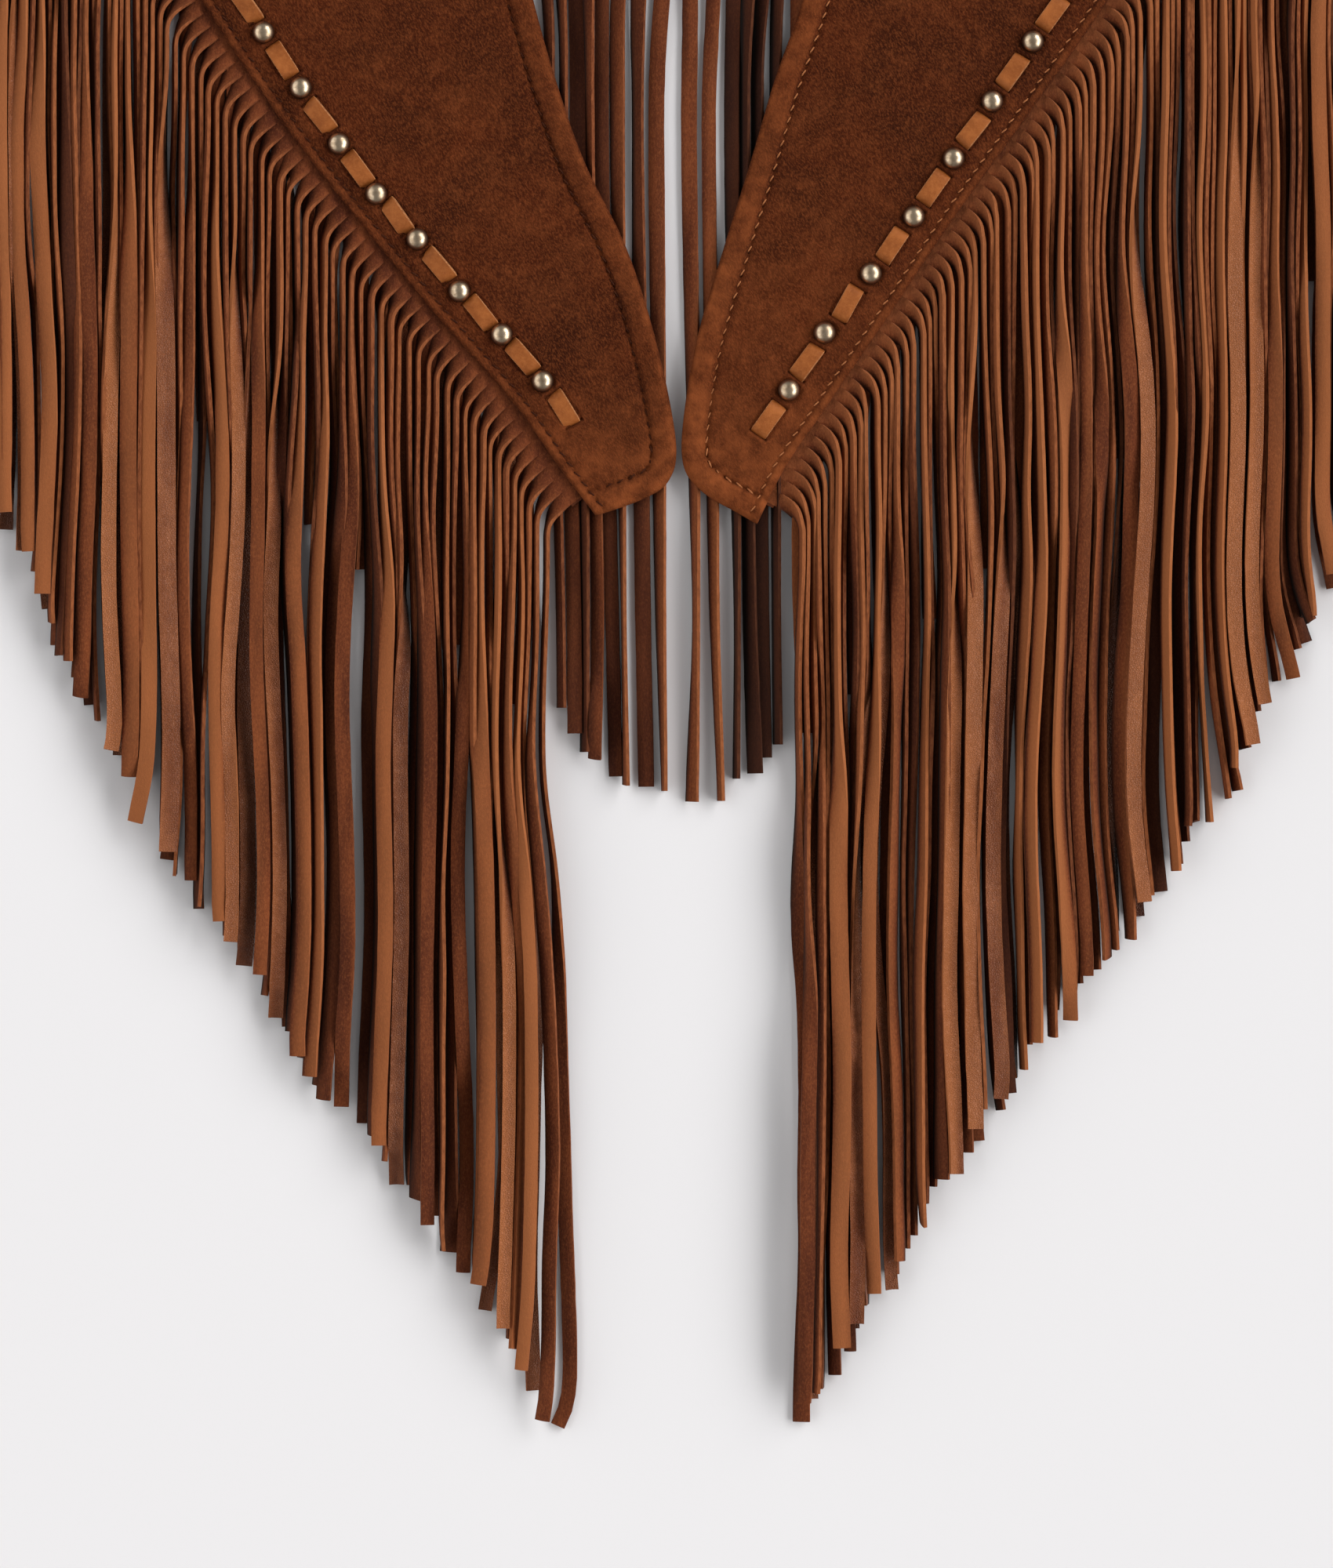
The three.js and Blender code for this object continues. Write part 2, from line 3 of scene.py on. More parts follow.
import bmesh
import bpy
import numpy as np
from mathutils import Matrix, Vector


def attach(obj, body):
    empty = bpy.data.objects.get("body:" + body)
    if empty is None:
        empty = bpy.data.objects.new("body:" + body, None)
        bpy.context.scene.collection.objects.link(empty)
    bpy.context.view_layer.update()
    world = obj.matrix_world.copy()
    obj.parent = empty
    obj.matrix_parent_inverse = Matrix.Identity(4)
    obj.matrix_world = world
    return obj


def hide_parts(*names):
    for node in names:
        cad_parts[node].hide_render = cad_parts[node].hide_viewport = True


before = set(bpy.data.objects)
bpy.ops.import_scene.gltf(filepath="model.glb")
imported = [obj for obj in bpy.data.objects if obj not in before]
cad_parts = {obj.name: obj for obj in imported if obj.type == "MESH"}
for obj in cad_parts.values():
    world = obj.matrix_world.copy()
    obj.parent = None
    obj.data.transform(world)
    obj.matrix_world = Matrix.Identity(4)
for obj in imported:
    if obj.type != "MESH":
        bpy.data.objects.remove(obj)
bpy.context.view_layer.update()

# Sizes are in millimetres, drawn on the +X side: "out" from the centre line and "up" to the shoulders
MM = 0.001
SIDES = {"left": -1, "right": 1}
NECK_POINT = (90.0, 365.0)
SHOULDER_TIP = (237.5, 315.0)
NECK_DROP = 20.0
HALF_WIDTH = 257.0
HALF_LENGTH = 365.0

# Heights of each layer above the surface
BACK_WALL = (0.15, 1.4)
BACK_STRIP = (1.75, 2.75)
FRONT_STRIP = (3.15, 4.2)
FRONT_WALL = (4.55, 6.0)
ROLL_RADIUS = 3.0
ROLL_MIDDLE = {"front": 2.25, "back": 2.3}

# The hem of each front, from its point to the shoulder: height up, then distance out on each side
HEM = [
    (-60, {"left": 37.4, "right": 33.7}),
    (-40, {"left": 51.6, "right": 47.2}),
    (-10, {"left": 77.9, "right": 67.7}),
    (20, {"left": 102.5, "right": 87.7}),
    (50, {"left": 125.6, "right": 109.3}),
    (87, {"left": 150.3, "right": 135.2}),
    (120, {"left": 169.0, "right": 156.0}),
    (180, {"left": 197.0, "right": 186.5}),
    (250, {"left": 224.0, "right": 220.0}),
    (315, {"left": 237.5, "right": 237.5}),
]
HEM_END = {"left": (26.2, -74.8), "right": (25.0, -77.5)}

# The inner edge of each front, from the neck down to the turn of its bottom edge
EDGE = [
    (365, {"left": 90.0, "right": 90.0}),
    (320, {"left": 86.0, "right": 86.0}),
    (252, {"left": 79.0, "right": 78.0}),
    (165, {"left": 64.0, "right": 60.0}),
    (90, {"left": 46.3, "right": 39.8}),
    (64, {"left": 39.0, "right": 30.7}),
    (38, {"left": 29.9, "right": 23.0}),
    (10.6, {"left": 16.6, "right": 14.5}),
    (-19, {"left": 7.1, "right": 5.8}),
    (-46, {"left": 1.4, "right": 1.4}),
]
BOTTOM = {
    "left": [(0.6, -55), (1.5, -60.5), (4.6, -65.6), (10.8, -69.3), (18.6, -72.3)],
    "right": [(1.1, -55.5), (2.4, -61), (5.5, -65.2), (10.5, -69.3), (18, -73.4)],
}
BACK_HEM = [
    (0, 126.5), (10, 129), (50, 162.5), (101, 207.5), (137, 240), (175, 275), (212.5, 302.5), SHOULDER_TIP,
]


# Curves in plan: points between two rows, and how many places are measured at a time
STEPS = 40
CHUNK = 4000
TINY = 1e-6


def centripetal(rows):
    """Points along a smooth curve through the rows, closer where the rows are."""
    p = np.array(rows, float)
    p = np.vstack([2 * p[0] - p[1], p, 2 * p[-1] - p[-2]])
    found = []
    for i in range(1, len(p) - 2):
        spans = [max(np.linalg.norm(p[i + k] - p[i + k - 1]) ** 0.5, TINY) for k in range(3)]
        knots = np.cumsum([0.0] + spans)
        t = np.linspace(knots[1], knots[2], STEPS, endpoint=False)[:, None]

        def mix(a, b, low, high):
            return (a * (knots[high] - t) + b * (t - knots[low])) / (knots[high] - knots[low])

        first, second, third = [mix(p[i + k - 1], p[i + k], k, k + 1) for k in range(3)]
        found.append(mix(mix(first, second, 0, 2), mix(second, third, 1, 3), 1, 2))
    return np.vstack(found + [p[-2]])


class Route:
    """A curve in plan that is measured along its length; outward is to the right of its direction."""

    def __init__(self, points):
        self.points = points
        self.lengths = np.concatenate([[0], np.cumsum(np.linalg.norm(np.diff(points, axis=0), axis=1))])
        self.length = self.lengths[-1]
        tangents = np.gradient(points, self.lengths, axis=0)
        self.tangents = tangents / np.linalg.norm(tangents, axis=1, keepdims=True)

    def at(self, distance):
        """Place, direction and outward direction at each distance."""
        place, along = (np.stack([np.interp(distance, self.lengths, rows[:, k]) for k in (0, 1)], -1)
                        for rows in (self.points, self.tangents))
        along /= np.linalg.norm(along, axis=-1, keepdims=True)
        return place, along, np.stack([along[..., 1], -along[..., 0]], -1)

    def nearest(self, points):
        """Distance from each point to the curve, and how far along the curve that is."""
        a, b = self.points[:-1], self.points[1:]
        run = b - a
        size = np.maximum((run ** 2).sum(1), TINY ** 2)
        away, along = [], []
        for start in range(0, len(points), CHUNK):
            p = points[start:start + CHUNK, None, :]
            share = np.clip(((p - a) * run).sum(2) / size, 0, 1)
            gap = np.linalg.norm(p - a - share[..., None] * run, axis=2)
            best = gap.argmin(1)
            rows = np.arange(len(best))
            away.append(gap[rows, best])
            along.append(self.lengths[best] + share[rows, best] * np.sqrt(size[best]))
        return np.concatenate(away), np.concatenate(along)


HEMS = {side: Route(centripetal([HEM_END[side]] + [(out[side], up) for up, out in HEM])) for side in SIDES}
EDGES = {
    side: Route(centripetal([(out[side], up) for up, out in EDGE] + BOTTOM[side] + [HEM_END[side]]))
    for side in SIDES
}
MIRRORED_ROWS = 2
back_rows = [(-out, up) for out, up in BACK_HEM[MIRRORED_ROWS:0:-1]] + BACK_HEM
HEMS["back"] = Route(centripetal(back_rows)[MIRRORED_ROWS * STEPS:])


# Soft noise: how many waves are added up, and how much shorter or longer than stated they are
WAVE_COUNT = 9
WAVE_SPREAD = (0.7, 1.6)


def waves(points, seed, length, amount):
    """Smooth hills and hollows in plan: waves in many directions, about length across."""
    rng = np.random.default_rng(seed)
    angle = rng.uniform(0, 2 * math.pi, WAVE_COUNT)
    pace = 2 * math.pi / (length * rng.uniform(*WAVE_SPREAD, WAVE_COUNT))
    shift = rng.uniform(0, 2 * math.pi, WAVE_COUNT)
    heights = np.sin(points[:, :1] * (pace * np.cos(angle)) + points[:, 1:2] * (pace * np.sin(angle)) + shift)
    return amount * heights.sum(1) / math.sqrt(WAVE_COUNT)


def soft_steps(rng, rows, columns, spacing):
    """Random values in rows that change smoothly along each row, about every spacing columns."""
    knots = int(columns / spacing) + 4
    values = rng.normal(0, 1, (rows, knots))
    where = np.arange(columns) / spacing + 1
    base = np.floor(where).astype(int)
    return blend(values[:, base], values[:, base + 1], smoothstep(where - base, 0, 1))


def smoothstep(x, low, high):
    t = np.clip((x - low) / (high - low), 0, 1)
    return t * t * (3 - 2 * t)


def bell(x, width):
    return np.exp(-((x / width) ** 2))


def blend(a, b, share):
    return a * (1 - share) + b * share


def smoothed(rows):
    """Each value evened with those before and after it in its row."""
    return (np.roll(rows, 1, 1) + 2 * rows + np.roll(rows, -1, 1)) / 4


def close_to(points, spot, reach):
    """Which points lie in a square around a spot in plan."""
    return np.abs(points - spot).max(1) < reach


# Where the seeded chance of each kind starts
SEED = {
    "relief": {"left": 3, "right": 8}, "back": 31, "lace": {"left": 41, "right": 42},
    "groups": 50, "bends": 70,
}


# Mesh building
def linked(name, data):
    item = bpy.data.objects.new(name, data)
    bpy.context.scene.collection.objects.link(item)
    return item


def signed_volume(points, faces):
    total = 0.0
    for size in {len(f) for f in faces}:
        corners = points[np.array([f for f in faces if len(f) == size])]
        for k in range(1, size - 1):
            total += np.einsum("ij,ij->i", corners[:, 0], np.cross(corners[:, k], corners[:, k + 1])).sum()
    return total


def make_piece(name, points, faces, material, sharp=40, face_values=None, point_values=None):
    """A mesh object from millimetres, its faces turned outward, with named numbers on faces and points."""
    if signed_volume(points, faces) < 0:
        faces = [f[::-1] for f in faces]
    mesh = bpy.data.meshes.new(name)
    mesh.from_pydata((points * MM).tolist(), [], faces)
    for domain, values in (("FACE", face_values), ("POINT", point_values)):
        for key, numbers in (values or {}).items():
            layer = mesh.attributes.new(key, "FLOAT", domain)
            layer.data.foreach_set("value", np.asarray(numbers, np.float32))
    mesh.shade_smooth()
    mesh.set_sharp_from_angle(angle=math.radians(sharp))
    mesh.materials.append(material)
    return linked(name, mesh)


def joined_lofts(rings_of_each):
    """Points and faces of many closed tubes, each given as an array of rings of points."""
    points, faces, start = [], [], 0
    for rings in rings_of_each:
        count, around = rings.shape[:2]
        first = start + np.arange(count - 1)[:, None] * around
        a = first + np.arange(around)
        b = first + (np.arange(around) + 1) % around
        faces += np.stack([a, b, b + around, a + around], -1).reshape(-1, 4).tolist()
        last = start + (count - 1) * around
        faces += [list(range(start, start + around))[::-1], list(range(last, last + around))]
        points.append(rings.reshape(-1, 3))
        start += count * around
    return np.vstack(points), faces


def placed(points, sign):
    return points * np.array([sign, 1, 1])


def raised(flat, up):
    """Points in space from places in plan and their heights."""
    return np.concatenate([flat, np.broadcast_to(up, flat.shape[:-1])[..., None]], -1)


# Materials: object coordinates are metres in the garment's own frame
def srgb(r, g, b):
    straight = [c / 255 for c in (r, g, b)]
    return (*(c / 12.92 if c < 0.04045 else ((c + 0.055) / 1.055) ** 2.4 for c in straight), 1)


class Shader:
    """A material's node tree with short ways to add and join nodes."""

    def __init__(self, name):
        self.material = bpy.data.materials.new(name)
        self.material.use_nodes = True
        self.nodes = self.material.node_tree.nodes
        self.links = self.material.node_tree.links
        self.surface = self.nodes["Principled BSDF"]
        self.place = self.nodes.new("ShaderNodeTexCoord").outputs["Object"]

    def join(self, socket, value):
        if isinstance(value, bpy.types.NodeSocket):
            self.links.new(value, socket)
        else:
            socket.default_value = value

    def add(self, kind, output, inputs=(), **settings):
        node = self.nodes.new(kind)
        for key, value in settings.items():
            setattr(node, key, value)
        for key, value in dict(inputs).items():
            self.join(node.inputs[key], value)
        return node.outputs[output]

    def drawn_out(self, times, turn=0.0):
        """Places in which a pattern comes out so many times longer, along a turned Y."""
        inputs = {"Vector": self.place, "Scale": (1, times, 1), "Rotation": (0, 0, turn)}
        return self.add("ShaderNodeMapping", 0, inputs, vector_type="TEXTURE")

    def noise(self, scale, detail, roughness, vector=None, distortion=0.0):
        return self.add("ShaderNodeTexNoise", "Fac", {
            "Vector": vector or self.place, "Scale": scale, "Detail": detail, "Roughness": roughness,
            "Distortion": distortion,
        })

    def cells(self, scale, vector):
        """The distance to the walls between cells."""
        return self.add("ShaderNodeTexVoronoi", "Distance", {"Vector": vector, "Scale": scale},
                        feature="DISTANCE_TO_EDGE")

    def ranged(self, value, low, high, to_low=0.0, to_high=1.0):
        """The value stretched from one range to another, and held at its ends."""
        return self.add("ShaderNodeMapRange", "Result", {
            "Value": value, "From Min": low, "From Max": high, "To Min": to_low, "To Max": to_high,
        })

    def maths(self, operation, a, b):
        return self.add("ShaderNodeMath", 0, {0: a, 1: b}, operation=operation)

    def mix(self, share, a, b):
        """Colour a, with a share of colour b; the node has other sockets for numbers and vectors."""
        return self.add("ShaderNodeMix", 2, {0: share, 6: a, 7: b}, data_type="RGBA")

    def number(self, name):
        """A number that the mesh carries on its faces or points."""
        return self.add("ShaderNodeAttribute", "Fac", attribute_name=name)

    def bump(self, height, distance, strength):
        inputs = {"Height": height, "Distance": distance, "Strength": strength}
        return self.add("ShaderNodeBump", 0, inputs)

    def finish(self, **sockets):
        for key, value in sockets.items():
            self.join(self.surface.inputs[key.replace("_", " ")], value)
        return self.material


SUEDE = {
    "dark": srgb(42, 15, 5), "deep": srgb(55, 21, 7), "face": srgb(80, 33, 12), "worn": srgb(142, 75, 38),
}
# The fringe's pale, deep and near-black colours carry the painted light and shade of the tint number, besides
# each strand's own tone
FRINGE = {
    "suede": (srgb(84, 36, 14), srgb(125, 63, 31)), "nap": srgb(157, 91, 50), "hollow": srgb(56, 22, 8),
    "grain": (srgb(112, 59, 33), srgb(154, 93, 59)), "crease": srgb(98, 48, 24),
    "cut": (srgb(92, 43, 19), srgb(146, 83, 47)),
    "pale": srgb(178, 108, 62), "deep": srgb(40, 15, 6), "painted_shadow": srgb(12, 5, 3),
}
TAN = {
    "face": (srgb(136, 72, 27), srgb(168, 96, 44)), "crease": srgb(186, 112, 56),
    "cut": (srgb(126, 70, 34), srgb(190, 128, 80)),
}
# The foot colour is painted shade where each stud meets the suede
NICKEL = {"face": (srgb(204, 182, 154), srgb(150, 126, 100)), "foot": srgb(64, 42, 28)}
THREAD = {
    "left": (srgb(50, 21, 9), srgb(78, 37, 16)),
    "right": (srgb(146, 86, 50), srgb(184, 118, 74)),
    "back": (srgb(70, 34, 17), srgb(100, 56, 32)),
}
SURFACE = srgb(236, 234, 235)
SHEEN_TINT = srgb(210, 140, 95)
NAP_TURN = 0.5


def panel_suede():
    """Napped suede: mottled where the nap lies differently, paler on raised edges."""
    s = Shader("suede")
    patches = s.noise(38, 5, 0.62, distortion=0.4)
    blots = s.noise(150, 4, 0.6)
    fleck = s.noise(850, 3, 0.6, s.drawn_out(1.8, NAP_TURN))
    nap = s.noise(2100, 4, 0.75, s.drawn_out(2.4, NAP_TURN))
    colour = s.mix(s.ranged(patches, 0.34, 0.68), SUEDE["deep"], SUEDE["face"])
    colour = s.mix(s.ranged(blots, 0.5, 0.75, 0, 0.3), colour, SUEDE["worn"])
    brushed = s.noise(64, 3, 0.6, distortion=0.8)
    colour = s.mix(s.ranged(brushed, 0.52, 0.68, 0, 0.16), colour, SUEDE["worn"])
    colour = s.mix(s.ranged(fleck, 0.6, 0.34, 0, 0.34), colour, SUEDE["dark"])
    colour = s.mix(s.ranged(nap, 0.46, 0.7, 0, 0.56), colour, SUEDE["worn"])
    colour = s.mix(s.ranged(nap, 0.5, 0.3, 0, 0.4), colour, SUEDE["dark"])
    rubbed = s.maths("MULTIPLY", s.number("worn"), s.ranged(blots, 0.35, 0.65, 0.25, 1.0))
    colour = s.mix(rubbed, colour, SUEDE["worn"])
    grain = s.maths("ADD", s.maths("MULTIPLY", nap, 0.7), s.maths("MULTIPLY", fleck, 0.8))
    return s.finish(Base_Color=colour, Roughness=0.95, Specular_IOR_Level=0.08, Sheen_Weight=0.03,
                    Sheen_Roughness=0.5, Sheen_Tint=SHEEN_TINT, Normal=s.bump(grain, 0.0006, 0.9))


def fringe_leather():
    """Suede on one side, pebbled grain on the other and rough fibres on the cut edges."""
    s = Shader("fringe")
    tint, side = s.number("tint"), s.number("side")
    long = s.noise(180, 3, 0.5, s.drawn_out(7.5))
    fibre = s.noise(1300, 3, 0.65, s.drawn_out(4.5))
    nap = s.noise(1900, 4, 0.75, s.drawn_out(2))
    crumple = s.noise(260, 4, 0.6)
    suede = s.mix(s.ranged(long, 0.35, 0.7), *FRINGE["suede"])
    suede = s.mix(s.ranged(nap, 0.5, 0.72, 0, 0.45), suede, FRINGE["nap"])
    suede = s.mix(s.ranged(nap, 0.5, 0.3, 0, 0.5), suede, FRINGE["hollow"])
    grain = s.mix(s.ranged(long, 0.35, 0.7), *FRINGE["grain"])
    grain = s.mix(s.ranged(crumple, 0.55, 0.4, 0, 0.35), grain, FRINGE["crease"])
    cut = s.mix(s.ranged(fibre, 0.3, 0.7), *FRINGE["cut"])
    is_grain = s.ranged(side, 0.7, 0.8)
    is_cut = s.maths("MULTIPLY", s.ranged(side, 0.2, 0.3), s.ranged(side, 0.7, 0.8, 1, 0))
    colour = s.mix(is_grain, suede, grain)
    colour = s.mix(is_cut, colour, cut)
    # Below a tint of one half the colour goes deeper, below nought towards near black, and above one half
    # paler: partly each strand's own tone, mostly painted shade and painted highlight
    pale = s.mix(0.55, colour, FRINGE["pale"])
    deep = s.mix(0.6, colour, FRINGE["deep"])
    colour = s.mix(s.ranged(tint, 0, 0.5, 1, 0), colour, deep)
    colour = s.mix(s.ranged(tint, -1, 0, 1, 0), colour, FRINGE["painted_shadow"])
    colour = s.mix(s.ranged(tint, 0.5, 1), colour, pale)
    wrinkled = s.add("ShaderNodeMixRGB", 0, {"Fac": 0.0012, "Color1": s.drawn_out(0.8), "Color2": crumple},
                     blend_type="ADD")
    pebbles = s.ranged(s.cells(1350, wrinkled), 0.0, 0.35, 0, 1.6)
    relief = s.mix(is_grain, s.maths("ADD", s.maths("MULTIPLY", fibre, 0.5), nap), pebbles)
    return s.finish(Base_Color=colour, Roughness=s.ranged(is_grain, 0, 1, 0.92, 0.45),
                    Specular_IOR_Level=0.22, Sheen_Weight=0.04, Sheen_Roughness=0.5,
                    Sheen_Tint=SHEEN_TINT, Normal=s.bump(relief, 0.00028, 0.6))


def lace_leather():
    """Smooth tan leather with a paler, fibrous cut edge."""
    s = Shader("lace")
    patches = s.noise(160, 4, 0.6)
    creases = s.noise(900, 3, 0.6)
    colour = s.mix(s.ranged(patches, 0.35, 0.7), *TAN["face"])
    colour = s.mix(s.ranged(creases, 0.45, 0.7, 0, 0.3), colour, TAN["crease"])
    fibres = s.noise(1500, 3, 0.7)
    edge = s.mix(s.ranged(fibres, 0.35, 0.65), *TAN["cut"])
    colour = s.mix(s.number("cut"), colour, edge)
    return s.finish(Base_Color=colour, Roughness=0.6, Specular_IOR_Level=0.2,
                    Normal=s.bump(s.maths("ADD", creases, fibres), 0.0002, 0.5))


def stud_metal():
    """Old nickel: tarnished in patches, with painted shade round the foot, where it meets the suede, standing
    in for the contact shadow there and the dark suede that the foot reflects.
    """
    s = Shader("studs")
    tarnish = s.noise(500, 4, 0.6)
    colour = s.mix(s.ranged(tarnish, 0.4, 0.75), *NICKEL["face"])
    # Painted shade at the foot
    foot = s.maths("MULTIPLY", s.number("foot"), 0.8)
    colour = s.mix(foot, colour, NICKEL["foot"])
    return s.finish(Base_Color=colour, Metallic=1.0, Roughness=s.ranged(tarnish, 0.3, 0.7, 0.26, 0.38),
                    Normal=s.bump(tarnish, 0.0001, 0.15))


def thread(kind):
    s = Shader(f"thread_{kind}")
    twist = s.noise(1800, 2, 0.5)
    colour = s.mix(s.ranged(twist, 0.35, 0.7), *THREAD[kind])
    return s.finish(Base_Color=colour, Roughness=0.8, Specular_IOR_Level=0.12,
                    Normal=s.bump(twist, 0.0001, 0.6))


def pale_surface():
    s = Shader("pale_surface")
    tooth = s.noise(700, 3, 0.5)
    return s.finish(Base_Color=SURFACE, Roughness=0.9, Normal=s.bump(tooth, 0.0001, 0.1))


# Lace and studs: the rolls are the lace's lean across in degrees, and the lean and yaw vary by chance
LACE = {
    "width": 5.6, "thick": 1.3, "shows": 11.7, "rise": 0.75, "dive": 2.6, "short": 0.15, "rings": 19,
    "rolls": {"left": -11, "right": 3}, "roll_varies": 4, "yaw_varies": 0.05,
}
# Studs: the last pair is the angles in degrees between which painted shade darkens the foot
STUD = {"radius": 3.5, "height": 3.3, "foot": 6.0, "lifted": 0.45, "sides": 32, "painted_foot_shade": (34, 3)}
STUD_ANGLES = np.concatenate([np.linspace(-28, 80, 12), [86, 89.5]])

# Each row from the point up: the studs' distances along the hem and inside it, then an even pitch
STUD_ROW = {
    "left": {
        "set": [(44, 11.6), (63, 11.5), (82.5, 10.6), (104, 10.9), (123.5, 9.8), (143.5, 10.3),
                (165.5, 11.1), (187, 11.2)],
        "pitch": 20.4, "count": 19,
    },
    "right": {
        "set": [(41, 12.8), (62.5, 13.8), (86.5, 12.2), (109, 10.8), (131, 11.1), (153, 11.8), (176, 12.3)],
        "pitch": 22.5, "count": 18,
    },
}


def stud_at(side, index):
    known, pitch = STUD_ROW[side]["set"], STUD_ROW[side]["pitch"]
    nearest = min(max(index, 0), len(known) - 1)
    along, inside = known[nearest]
    return np.array([along + (index - nearest) * pitch, inside])


def row_place(side, spot):
    place, along, outward = HEMS[side].at(spot[0])
    return place - outward * spot[1], along, outward


def stud_places(side):
    return [row_place(side, stud_at(side, i)) for i in range(STUD_ROW[side]["count"])]


def lace_places(side):
    count = STUD_ROW[side]["count"]
    return [row_place(side, (stud_at(side, i - 1) + stud_at(side, i)) / 2) for i in range(count + 1)]


# Shoulders: the panels' edges turn towards each other in a half roll
SHOULDER_ALONG = np.subtract(SHOULDER_TIP, NECK_POINT) / math.dist(SHOULDER_TIP, NECK_POINT)
SHOULDER_OUT = np.array([-SHOULDER_ALONG[1], SHOULDER_ALONG[0]])
SEAM_HALF_GAP = 0.15
ROLL_ENDS = math.pi / 2 - 0.06
ROLL_LENGTH = {kind: middle * math.pi / 2 for kind, middle in ROLL_MIDDLE.items()}


def past_roll(points):
    """How far each place is past the line where the shoulder's roll starts."""
    return (points[:, :2] - NECK_POINT) @ SHOULDER_OUT + ROLL_RADIUS


def rolled(points, middle):
    """Bends what lies past the start of the shoulder's roll round its axis."""
    past = np.maximum(past_roll(points), 0)
    turn = np.minimum(past / middle, ROLL_ENDS)
    height = points[:, 2] - ROLL_RADIUS
    out = np.abs(height) * np.sin(turn) - past
    bent = points.copy()
    bent[:, :2] += out[:, None] * SHOULDER_OUT
    bent[:, 2] = ROLL_RADIUS + np.sign(height) * np.clip(np.abs(height) * np.cos(turn), SEAM_HALF_GAP, None)
    return np.where(past[:, None] > 0, bent, points)


# The front panels: the turned inner edge and the ridge along the hem
BAND = {"width": 8.0, "rise": 0.85, "crest": 3.4, "groove": 0.95, "groove_width": 0.7}
RIDGE = {"width": 3.25, "rise": 0.4, "crest": 1.6, "groove": 0.45, "groove_width": 0.45}
EDGE_ROUND = {"edge": 1.7, "hem": 0.8, "shoulder": 0.4}
STITCH = {
    "pitch": 3.9, "length": 2.8, "radius": 0.25, "lean": 0.28, "notch": 0.5, "notch_width": 0.7,
    "rings": 7, "sides": 6, "proud": 0.2, "dive": 0.75,
}
TIGHT_SHARE = 0.7

# Hills and hollows of the fronts, each by its length and height
RELIEF = {
    "swell": (42, 0.28), "ripple": (15, 0.09), "pucker": (7, 0.16), "gather": (6, 0.12), "crumb": (2.6, 0.13),
}
STRETCHED = 0.25
PUCKERED = {"inside": (2.5, 3), "band": (2.5, 2.2), "band_share": 0.8, "hem": (1.5, 2.5)}
DEEPEST = {"front": -1, "back": -0.6}

# How worn the suede is: on the band, the ridge and the rim, towards the point, and brushed lower down
WORN = {"left": 0.26, "right": 0.55}
BRUSHED = {"left": 0.02, "right": 0.2}
WEAR = {"ridge": 0.3, "rim": 0.35, "rim_at": (1.0, 0.9), "point": 0.5}
WEAR_HEIGHTS = {"point": (-25, -62), "brushed": (60, -30)}
WEAR_RISES = {"band": (0.1, 0.45), "ridge": (0.1, 0.4), "neck": (0.1, 0.5)}

# The mesh: columns close to both edges, and rows that lie closest at the point
EDGE_OFFSETS = [0, 0.12, 0.35, 0.7, 1.2, 1.9, 2.8, 3.9, 5.1, 6.3, 7.2, 7.6, 8.0, 8.4, 8.9, 9.8, 11.2]
HEM_OFFSETS = [0, 0.1, 0.3, 0.65, 1.1, 1.7, 2.4, 2.8, 3.1, 3.4, 3.8, 4.6, 5.8]
MIDDLE_COLUMNS = 54
MOST_SHARE = 0.45
ROWS = {"point": (-50, 0.5), "middle": (310, 1.05), "shoulder": 90}
UNDER_STEP = 9
REFINED = (5.6, 4.2)
WELD = 0.02


def rounding(distance, radius):
    """How much of its thickness the wall has, at a distance from its rounded edge."""
    t = 1 - np.clip(distance / radius, 0, 1)
    return np.sqrt(np.maximum(1 - t * t, 0))


def seam_form(distance, along, form):
    """A padded strip along an edge: it swells to its crest and sinks to the stitches at its width."""
    width, crest = form["width"], form["crest"]
    rising = np.sin(np.clip(distance / crest, 0, 1) * math.pi / 2)
    falling = np.cos(np.clip((distance - crest) / (width - crest), 0, 1) * math.pi / 2)
    swell = form["rise"] * np.where(distance < crest, rising, falling)
    tight = 1 - TIGHT_SHARE / 2 + TIGHT_SHARE / 2 * np.cos(2 * math.pi * along / STITCH["pitch"])
    return swell - form["groove"] * tight * bell(distance - width, form["groove_width"])


